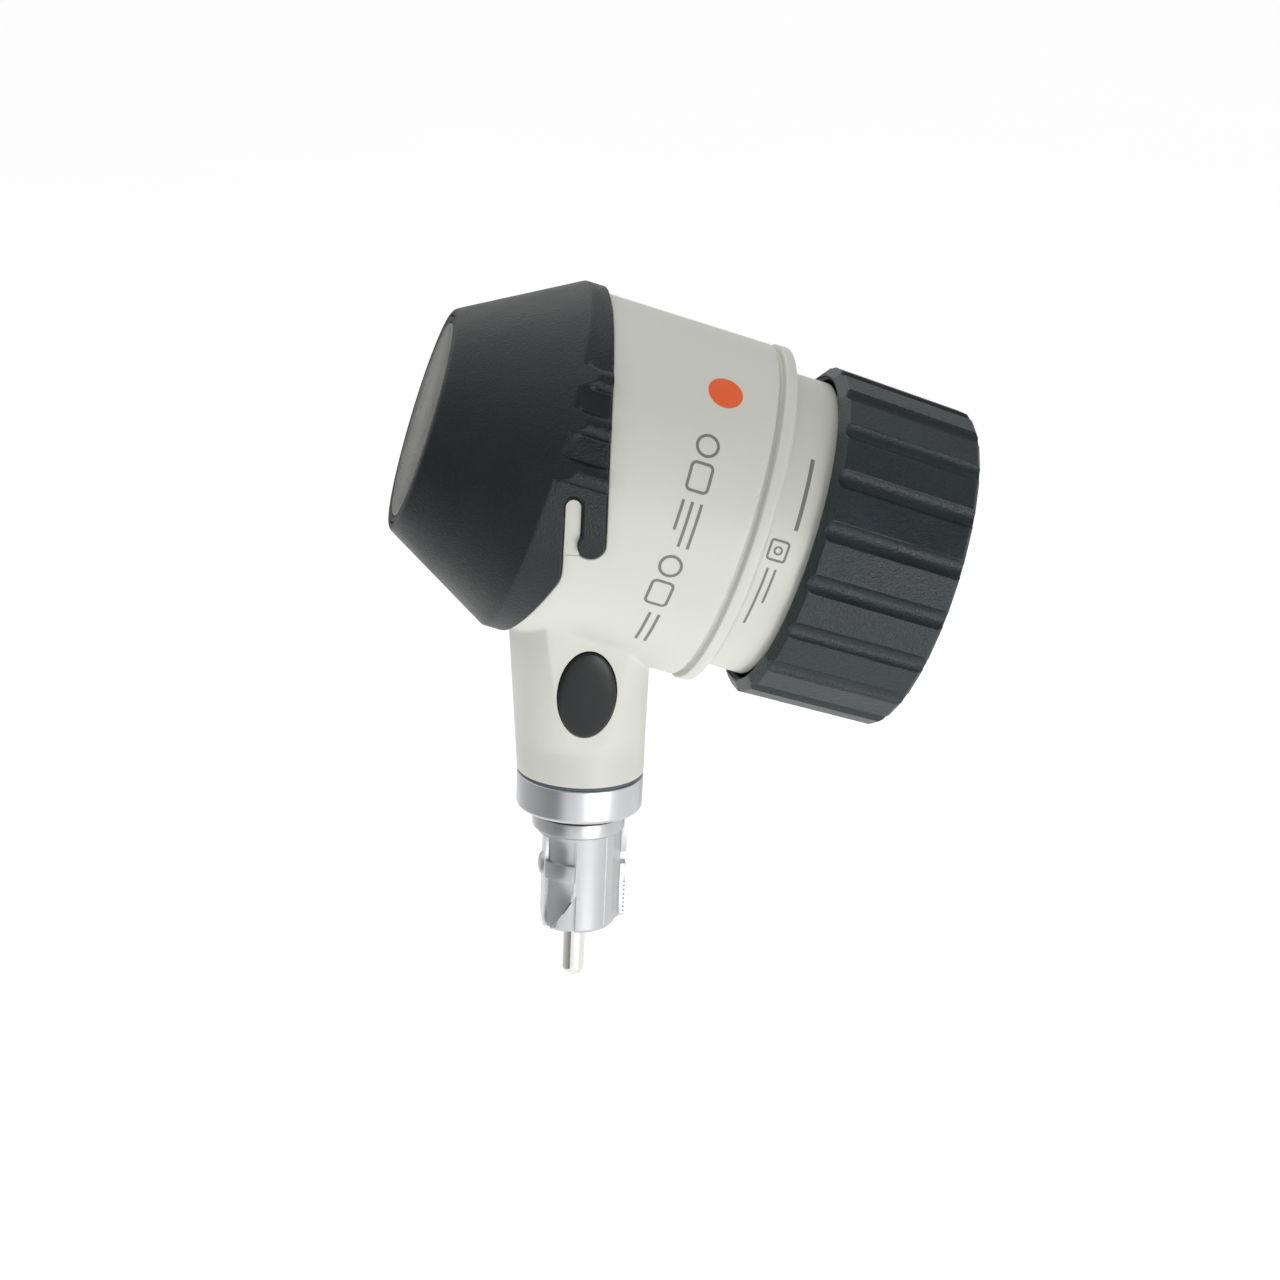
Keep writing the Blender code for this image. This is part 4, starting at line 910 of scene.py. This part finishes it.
class Nodes:
    """A small helper round one material's node tree."""

    def __init__(self, name):
        self.mat = bpy.data.materials.new(name)
        self.mat.use_nodes = True
        self.tree = self.mat.node_tree
        self.shader = self.tree.nodes["Principled BSDF"]
        self.place = self.tree.nodes.new("ShaderNodeTexCoord").outputs["Object"]

    def node(self, kind, inputs=(), **settings):
        made = self.tree.nodes.new("ShaderNode" + kind)
        for key, value in settings.items():
            setattr(made, key, value)
        for key, value in dict(inputs).items():
            if isinstance(value, bpy.types.NodeSocket):
                self.tree.links.new(value, made.inputs[key])
            else:
                made.inputs[key].default_value = value
        return made

    def link(self, source, target):
        self.tree.links.new(source, self.shader.inputs[target])

    def noise(self, size_mm, place=None, detail=3.0):
        facts = {"Vector": place or self.place, "Scale": 1 / (size_mm * MM)}
        return self.node("TexNoise", {**facts, "Detail": detail, "Roughness": 0.55}).outputs["Fac"]

    def stretched(self, across, along, lean=0.0):
        """Coordinates for lines that run round an axis: fine along it, coarse across it."""
        upright = self.node("Mapping", {"Vector": self.place, "Rotation": (0, lean, 0)}).outputs[0]
        scale = (1 / across, 1 / across, 1 / along)
        return self.node("Mapping", {"Vector": upright, "Scale": scale}).outputs[0]

    def ramp(self, source, stops):
        made = self.node("ValToRGB", {"Fac": source})
        ramp = made.color_ramp
        ramp.elements[0].position, ramp.elements[0].color = stops[0]
        ramp.elements[1].position, ramp.elements[1].color = stops[-1]
        for position, colour in stops[1:-1]:
            ramp.elements.new(position).color = colour
        return made.outputs["Color"]

    def spread(self, source, low, high):
        facts = {"Value": source, "From Min": 0.3, "From Max": 0.7, "To Min": low, "To Max": high}
        return self.node("MapRange", facts).outputs["Result"]

    def bump(self, height, depth_mm, strength=1.0, normal=None):
        facts = {"Height": height, "Distance": depth_mm * MM, "Strength": strength}
        if normal:
            facts["Normal"] = normal
        return self.node("Bump", facts).outputs["Normal"]

    def set(self, **values):
        for key, value in values.items():
            self.shader.inputs[key.replace("_", " ")].default_value = value


def mixed(colour, share):
    return [min(c * share, 1.0) for c in colour[:3]] + [1.0]


def moulded(name, rgb, roughness, grain, depth, speckle=0.12, **settings):
    """Moulded or painted plastic: grain in its bump, and small changes of colour and gloss."""
    n = Nodes(name)
    colour = linear(rgb)
    fine = n.noise(grain, detail=2.0)
    wide = n.noise(9.0, detail=4.0)
    blended = n.node("MixRGB", {"Fac": 0.35, "Color1": fine, "Color2": wide}).outputs[0]
    dark, light = mixed(colour, 1 - speckle), mixed(colour, 1 + speckle)
    n.link(n.ramp(blended, [(0.32, dark), (0.5, colour), (0.68, light)]), "Base Color")
    n.link(n.spread(wide, roughness - 0.05, roughness + 0.05), "Roughness")
    coarse = n.bump(n.noise(grain * 2.6, detail=1.0), depth * 0.4)
    n.link(n.bump(fine, depth, normal=coarse), "Normal")
    n.set(**settings)
    return n.mat


def machined(name, rgb, roughness, line=0.06, depth=0.006, lean=0.0, streak=0.08, **settings):
    """Turned metal: fine rings round its axis in colour, gloss and bump."""
    n = Nodes(name)
    colour = linear(rgb)
    lines = n.noise(1000.0, place=n.stretched(0.03, line * MM, lean), detail=2.0)
    bands = n.noise(1000.0, place=n.stretched(0.03, line * 3 * MM, lean), detail=2.0)
    blended = n.node("MixRGB", {"Fac": 0.5, "Color1": lines, "Color2": bands}).outputs[0]
    dark, light = mixed(colour, 1 - streak), mixed(colour, 1 + streak / 2)
    n.link(n.ramp(blended, [(0.35, dark), (0.65, light)]), "Base Color")
    n.link(n.spread(bands, roughness - 0.02, roughness + 0.03), "Roughness")
    n.link(n.bump(lines, depth), "Normal")
    n.set(Metallic=1.0, **settings)
    return n.mat


def clear(name, rgb, roughness, ior, ripple, **settings):
    """Glass or film, with a faint ripple and small changes of tint and haze."""
    n = Nodes(name)
    colour = linear(rgb)
    soft = n.noise(2.5, detail=3.0)
    n.link(n.ramp(soft, [(0.3, mixed(colour, 0.96)), (0.7, colour)]), "Base Color")
    n.link(n.spread(soft, max(roughness - 0.01, 0.0), roughness + 0.02), "Roughness")
    n.link(n.bump(n.noise(0.8, detail=2.0), ripple), "Normal")
    n.set(**{"IOR": ior, "Transmission_Weight": 1.0, **settings})
    return n.mat


def circuit(name):
    """Green board with lighter tracks."""
    n = Nodes(name)
    kinds = {"distance": "MANHATTAN", "feature": "DISTANCE_TO_EDGE"}
    cells = n.node("TexVoronoi", {"Vector": n.place, "Scale": 700.0}, **kinds).outputs["Distance"]
    track, board = linear((46, 122, 74)), linear((22, 84, 52))
    n.link(n.ramp(cells, [(0.04, track), (0.07, board)]), "Base Color")
    n.link(n.spread(n.noise(0.6), 0.3, 0.45), "Roughness")
    n.link(n.bump(cells, 0.05, 0.5), "Normal")
    return n.mat


BETA_LEAN = math.pi / 2 - BETA
PAINT_COAT = {"Coat_Weight": 0.15, "Coat_Roughness": 0.35}
LENS_COAT = {"Coat_Weight": 0.3, "Coat_Tint": linear((170, 150, 230))}
SATIN = {"streak": 0.025, "Anisotropic": 0.3}
MATERIALS = {
    "cap_plastic": moulded("cap_grain", (15, 23, 26), 0.44, 0.3, 0.1, 0.6, Specular_IOR_Level=0.42),
    "ring_plastic": moulded("ring_grain", (26, 37, 41), 0.42, 0.3, 0.1, 0.5, Specular_IOR_Level=0.47),
    "housing_plastic": moulded("housing_paint", (210, 211, 202), 0.42, 0.18, 0.003, 0.02, **PAINT_COAT),
    "button_plastic": moulded("button_satin", (14, 19, 21), 0.33, 0.2, 0.02, 0.2, Specular_IOR_Level=0.4),
    "black_plastic": moulded("inner_black", (30, 31, 32), 0.5, 0.3, 0.01),
    "white_plastic": moulded("inner_white", (228, 227, 220), 0.45, 0.3, 0.005, 0.02),
    "soft_rubber": moulded("rubber", (44, 46, 49), 0.62, 0.25, 0.01),
    "contact_glass": clear("plate_glass", (205, 207, 198), 0.28, 1.5, 0.001),
    "lens_glass": clear("coated_lens", (225, 235, 232), 0.01, 1.52, 0.0003, **LENS_COAT),
    "filter_film": clear("grey_film", (96, 94, 98), 0.03, 1.5, 0.0005),
    "black_anodised": machined("anodised", (38, 39, 41), 0.38, lean=BETA_LEAN),
    "turned_aluminium": machined("aluminium", (202, 203, 205), 0.31, 0.05, 0.0004, **SATIN),
    "nickel_plate": machined("nickel", (232, 231, 225), 0.17, 0.1, 0.0008),
    "brass": machined("brass_turned", (196, 162, 92), 0.3),
    "steel": machined("steel_turned", (178, 178, 178), 0.28),
    "circuit_board": circuit("board"),
    "led_resin": moulded("led_lens", (238, 232, 176), 0.15, 0.2, 0.001, 0.03, Transmission_Weight=0.3),
    "red_insulation": moulded("red_wire", (170, 36, 30), 0.45, 0.25, 0.004),
}
PLUG_METAL = machined("milled_aluminium", (196, 197, 199), 0.33, 0.06, 0.0008, streak=0.04)
SEAL = moulded("seal_rubber", (78, 90, 98), 0.5, 0.2, 0.004, 0.08)
ORANGE = moulded("orange_print", (236, 96, 40), 0.5, 0.18, 0.003, 0.04)
GREY = moulded("grey_print", (122, 121, 116), 0.5, 0.18, 0.003, 0.05)


# --- The object ---


def placed(obj, body, slot=None, *nodes):
    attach(obj, body)
    if nodes:
        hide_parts(*nodes)
    return obj


def lens_line(radius, front, back, bulge_front, bulge_back, steps=24):
    shares = [i / steps for i in range(steps + 1)]
    line = [(radius * k, front - bulge_front * (1 - k**2)) for k in shares]
    return line + [(radius * k, back + bulge_back * (1 - k**2)) for k in reversed(shares)]


def tube_line(r_in, r_out, low, high):
    return [(r_in, low), (r_out, low), (r_out, high), (r_in, high)]


def turned_pieces():
    """Each round piece: name, the node that it stands for, body, slot, frame, edge rounding and profile."""
    glass_back = CAP_FRONT + GLASS_THICK
    glass = [(0, CAP_FRONT), (GLASS_R, CAP_FRONT), (GLASS_R, glass_back), (0, glass_back)]
    cup = [(EYE_HOLE_R + 0.3, EYE_SEAT_S + 0.3), (EYECUP_R, EYE_SEAT_S + 0.3), (EYECUP_R, 53.25)]
    cup += [(EYECUP_R - 0.4, 53.65), (EYECUP_R - 1.8, 53.75), (EYE_HOLE_R + 0.9, 53.25)]
    retainer = tube_line(15.4, 16.2, CAP_FRONT + 0.05, glass_back)
    collar = [(7.95, 0), (RING_SEAT_R - 0.6, 0), (RING_SEAT_R - 0.18, 0.18), (RING_SEAT_R, 0.6)]
    collar += [(RING_SEAT_R, COUPLING_TOP - 0.15), (RING_SEAT_R - 0.15, COUPLING_TOP), (6.7, COUPLING_TOP)]
    collar += [(6.7, 0.4), (7.95, 0.4)]
    nose = arc((0, PIN_TIP + PIN_R), PIN_R, -90, 0, 20)
    pin = nose + [(PIN_R, 10.9), (2.8, 10.9), (2.8, 11.7), (0, 11.7)]
    seal = tube_line(7.2, 9.9, COUPLING_TOP + 0.06, NECK_BOTTOM - 0.06)
    sleeve = [(20, 14.2), (23.6, 14.2), (23.6, 16.4), (21.3, 16.4)]
    sleeve += [(21.3, 32.6), (22.2, 33.2), (22.2, 44.5), (20, 44.5)]
    return [
        ("glass_plate", "contact_glass", "cap", "contact_glass", OPTIC, 0.3, glass),
        ("glass_ring", "glass_retaining_ring", "cap", "black_anodised", OPTIC, 0.1, retainer),
        ("coupling_collar", "coupling_ring", "housing", "turned_aluminium", ROW, 0.12, collar),
        ("neck_gasket", "neck_seal", "housing", "soft_rubber", ROW, 0.08, seal),
        ("centre_pin", "contact_pin", "housing", "nickel_plate", ROW, 0.05, pin),
        ("pin_sleeve", "pin_insulator", "housing", "white_plastic", ROW, 0.15,
         tube_line(2.0, 3.9, PLUG_BOTTOM + 0.4, 10.6)),
        ("bezel_ring", "front_bezel", "housing", "black_plastic", OPTIC, 0.15,
         tube_line(21.45, 22.3, -2.8, 1.4)),
        ("polarising_film", "polariser_ring", "housing", "filter_film", OPTIC, 0.08,
         tube_line(12.5, 21.15, -2.3, -1.5)),
        ("inner_baffle", "baffle_tube", "housing", "black_plastic", OPTIC, 0.15,
         tube_line(10.9, 12.2, -2.8, 5.5)),
        ("analyser_disc", "analyser_filter", "housing", "filter_film", OPTIC, 0.08,
         [(0, -0.6), (10.6, -0.6), (10.6, 0.4), (0, 0.4)]),
        ("objective_glass", "objective_lens", "housing", "lens_glass", OPTIC, 0.1,
         lens_line(12.8, 7.3, 10.4, 1.3, 1.3)),
        ("objective_ring", "objective_retaining_ring", "housing", "black_anodised", OPTIC, 0.1,
         tube_line(11.0, 12.8, 11.0, 12.4)),
        ("drive_sleeve", "helicoid_sleeve", "housing", "turned_aluminium", OPTIC, 0.15, sleeve),
        ("front_eye_lens", "eyepiece_front_lens", "carrier", "lens_glass", OPTIC, 0.1,
         lens_line(17, 27.2, 29.4, 1.8, 1.2)),
        ("rear_eye_lens", "eyepiece_rear_lens", "carrier", "lens_glass", OPTIC, 0.1,
         lens_line(17, 43.1, 47.0, 1.2, 2.2)),
        ("eye_lens_spacer", "lens_spacer", "carrier", "black_anodised", OPTIC, 0.15,
         tube_line(15.8, 17, 29.9, 42.6)),
        ("eye_lens_ring", "eyepiece_retaining_ring", "carrier", "black_anodised", OPTIC, 0.15,
         tube_line(15.6, 17, 47.6, 49.2)),
        ("eye_rubber", "eyecup", "focus", "soft_rubber", OPTIC, 0.2, cup),
        ("drive_insert", "thread_insert", "focus", "brass", OPTIC, 0.15, tube_line(22.5, 23.7, 36, 42)),
    ]


def carrier_tube(mat):
    profile = [(17.3, 24.0), (19.7, 24.0), (19.7, 49.0), (23.5, 49.0)]
    profile += [(23.5, 50.5), (18.5, 50.5), (18.5, 51.6), (17.3, 51.6)]
    tube = turned("carrier_tube", profile, OPTIC, None, 0.15)
    slot = prism("guide_slot", [(-21, -1.2), (-18.6, -1.2), (-18.6, 1.2), (-21, 1.2)], 25.5, 36.0, OPTIC)
    return tidied(cut(tube, slot), mat)


def printed_marks():
    """Plain signs: a dot and strokes on the body, and an index line with a sign on the barrel."""
    def at(radius, degrees, s):
        return radius * math.radians(degrees), s

    def bars(name, rows, radius, middle, width):
        for i, (start, end, shift) in enumerate(rows):
            line = [at(radius, start, middle + shift), at(radius, end, middle + shift)]
            marks.append(stroke(f"{name}_{i + 1}", line, width, radius, GREY))

    marks = [disc("mark_dot", at(BODY_R, 39, 12.4), 2.7, BODY_R, ORANGE)]
    s, width = 11.25, 0.45
    ring, box = (1.6, 1.6), (2.1, 0.7)  # half the length along the body, and corner radius
    signs = [("ring", 59.5, ring), ("frame", 70, box), ("ring", 100, ring), ("frame", 110.5, box)]
    for i, (kind, degrees, (half, corner)) in enumerate(signs):
        line = loop_line(at(BODY_R, degrees, s), half, 1.6, corner)
        marks.append(stroke(f"mark_{kind}_{i + 1}", line, width, BODY_R, GREY, True))
    rows = ((78, 93, 1.4), (78, 93, 0), (78, 88, -1.4), (119, 134, 1.4), (119, 134, 0))
    bars("mark_bar", rows, BODY_R, s, width)
    index = [at(BARREL_R, 49.8, 27.9), at(BARREL_R, 77.3, 27.9)]
    marks.append(stroke("index_line", index, 0.62, BARREL_R, GREY))
    sign_s = 26.3
    parts = (("sign_frame", (1.5, 1.35, 0.4), 0.36), ("sign_ring", (0.55, 0.55, 0.55), 0.3))
    for name, sizes, line_width in parts:
        outline = loop_line(at(BARREL_R, 86, sign_s), *sizes)
        marks.append(stroke(name, outline, line_width, BARREL_R, GREY, True))
    bars("sign_bar", ((93, 107, 0.6), (93, 118, -0.6)), BARREL_R, sign_s, 0.36)
    return marks


for part in frame["record"]["subparts"]:
    node = frame["nodes"][part["node"]]
    node.data.materials.clear()
    node.data.materials.append(MATERIALS[part["material_slot"]])

PAINT = MATERIALS["housing_plastic"]
placed(housing_shell("shell_near", PAINT, False), "housing", "housing_plastic", "body_shell_left")
placed(housing_shell("shell_far", PAINT, True), "housing", "housing_plastic", "body_shell_right")
placed(contact_cap(MATERIALS["cap_plastic"]), "cap", "cap_plastic", "contact_cap")
placed(toggle_button(MATERIALS["button_plastic"]), "button", "button_plastic", "toggle_button")
placed(focus_ring(MATERIALS["ring_plastic"]), "focus", "ring_plastic", "focus_ring")
placed(bayonet_plug(PLUG_METAL), "housing", "turned_aluminium", "bayonet_plug")
placed(carrier_tube(MATERIALS["black_anodised"]), "carrier", "black_anodised", "lens_carrier")
for name, node, body, slot, place, edge, profile in turned_pieces():
    finish = SEAL if node == "neck_seal" else MATERIALS[slot]
    placed(turned(name, profile, place, finish, edge), body, slot, node)
for mark in printed_marks():
    placed(mark, "housing")


# --- Floor, light and camera ---


def grey(tone):
    return (tone, tone, tone, 1)


def floor():
    """A white floor, which glows a little more away from the object, so that it stays pale to its end."""
    n = Nodes("pale_floor")
    n.link(n.ramp(n.noise(400.0), [(0.3, grey(0.93)), (0.7, grey(0.95))]), "Base Color")
    spot = n.node("TexGradient", {"Vector": n.stretched(2.5, 2.5)}, gradient_type="SPHERICAL")
    n.link(n.ramp(spot.outputs["Fac"], [(0.2, grey(0.66)), (0.8, grey(0.42))]), "Emission Color")
    n.set(Roughness=0.9, Emission_Strength=1.0)
    half, z = 40000.0, -300.0
    points = [(-half, -half, z), (half, -half, z), (half, half, z), (-half, half, z)]
    piece("floor", points, [(0, 1, 2, 3)], ROW, n.mat)


def softbox(name, place, target, size, power):
    light = bpy.data.lights.new(name, "AREA")
    light.shape, light.size, light.energy = "DISK", size, power
    obj = bpy.data.objects.new(name, light)
    bpy.context.scene.collection.objects.link(obj)
    obj.location = place
    obj.rotation_euler = (Vector(target) - Vector(place)).to_track_quat("-Z", "Y").to_euler()
    obj.visible_camera = False


def card(name, start, end, low_z, high_z, start_tone, end_tone):
    """A grey upright board between two places, seen in reflections only: it gives gloss its dark parts."""
    n = Nodes(name)
    axis = "X" if start[1] == end[1] else "Y"
    share = n.node("SeparateXYZ", {0: n.node("TexCoord").outputs["Generated"]}).outputs[axis]
    n.link(n.ramp(share, [(0.0, grey(start_tone)), (1.0, grey(end_tone))]), "Emission Color")
    n.set(Base_Color=(0, 0, 0, 1), Specular_IOR_Level=0.0, Emission_Strength=1.0)
    points = [(*start, low_z), (*end, low_z), (*end, high_z), (*start, high_z)]
    board = piece(name, points, [(0, 1, 2, 3)], ROW, n.mat)
    board.visible_camera = board.visible_diffuse = False
    board.visible_shadow = board.visible_transmission = False


def surroundings():
    """A white room that is darker above eye height, to the left and in front."""
    world = bpy.data.worlds.new("studio")
    bpy.context.scene.world = world
    world.use_nodes = True
    nodes, links = world.node_tree.nodes, world.node_tree.links
    split = nodes.new("ShaderNodeSeparateXYZ")
    links.new(nodes.new("ShaderNodeTexCoord").outputs["Generated"], split.inputs[0])
    upward = ((0.0, 0.85), (0.25, 0.42), (1.0, 0.34))
    across = ((-0.8, 0.4), (0.2, 1.0))
    depth = ((-0.6, 0.8), (0.5, 1.0))
    level, brightest = None, 1.2
    for axis, stops in (("X", across), ("Y", depth), ("Z", upward)):
        share = nodes.new("ShaderNodeMapRange")
        share.inputs["From Min"].default_value = -1.0
        links.new(split.outputs[axis], share.inputs["Value"])
        tone = nodes.new("ShaderNodeValToRGB")
        links.new(share.outputs["Result"], tone.inputs["Fac"])
        elements = tone.color_ramp.elements
        for i, (place, shade) in enumerate(stops):
            made = elements.new((place + 1) / 2) if i > 1 else elements[i]
            made.position, made.color = (place + 1) / 2, grey(shade)
        product = nodes.new("ShaderNodeMath")
        product.operation = "MULTIPLY"
        links.new(tone.outputs["Color"], product.inputs[0])
        product.inputs[1].default_value = brightest
        if level:
            links.new(level, product.inputs[1])
        level = product.outputs[0]
    nodes["Background"].inputs["Color"].default_value = (1.0, 1.0, 0.995, 1)
    links.new(level, nodes["Background"].inputs["Strength"])


def camera():
    """The photograph's view: to the side of the switch, a little from the front and from above."""
    azimuth, elevation, roll = (math.radians(a) for a in (-6.73, 17.53, 2.53))
    distance, focal, aside, above = 447.66, 2914.58, 7.58, -21.74
    back = Vector(
        (
            math.sin(azimuth) * math.cos(elevation),
            -math.cos(azimuth) * math.cos(elevation),
            math.sin(elevation),
        )
    )
    level = Vector((math.cos(azimuth), math.sin(azimuth), 0))
    upright = back.cross(level)
    right = math.cos(roll) * level + math.sin(roll) * upright
    up = math.cos(roll) * upright - math.sin(roll) * level
    data = bpy.data.cameras.new("camera")
    frame_px, sensor_mm = 1280, 36.0
    data.sensor_width, data.lens, data.clip_start = sensor_mm, focal / frame_px * sensor_mm, 0.01
    obj = bpy.data.objects.new("camera", data)
    bpy.context.scene.collection.objects.link(obj)
    place = Vector((0, 0, 50)) + aside * right + above * up + distance * back
    obj.matrix_world = Matrix.Translation(place * MM) @ Matrix((right, up, back)).transposed().to_4x4()
    bpy.context.scene.camera = obj


aim = (0.0, 0.0, 0.04)
floor()
card("card_left", (-300, -420), (-300, 500), -300, 120, 0.1, 0.95)
card("card_right", (450, 420), (450, 900), -300, 40, 0.5, 0.55)
card("card_back", (-900, 900), (-60, 900), -300, 150, 0.25, 0.3)
surroundings()
softbox("overhead", (-0.32, 0.32, 0.84), (0.0, 0.0, 0.05), 2.0, 9.5)
softbox("key", (0.32, -0.6, -0.16), aim, 0.4, 1.6)
softbox("fill", (-0.6, -0.5, 0.35), aim, 0.5, 0.2)
camera()
bpy.context.scene.view_settings.view_transform = "Standard"
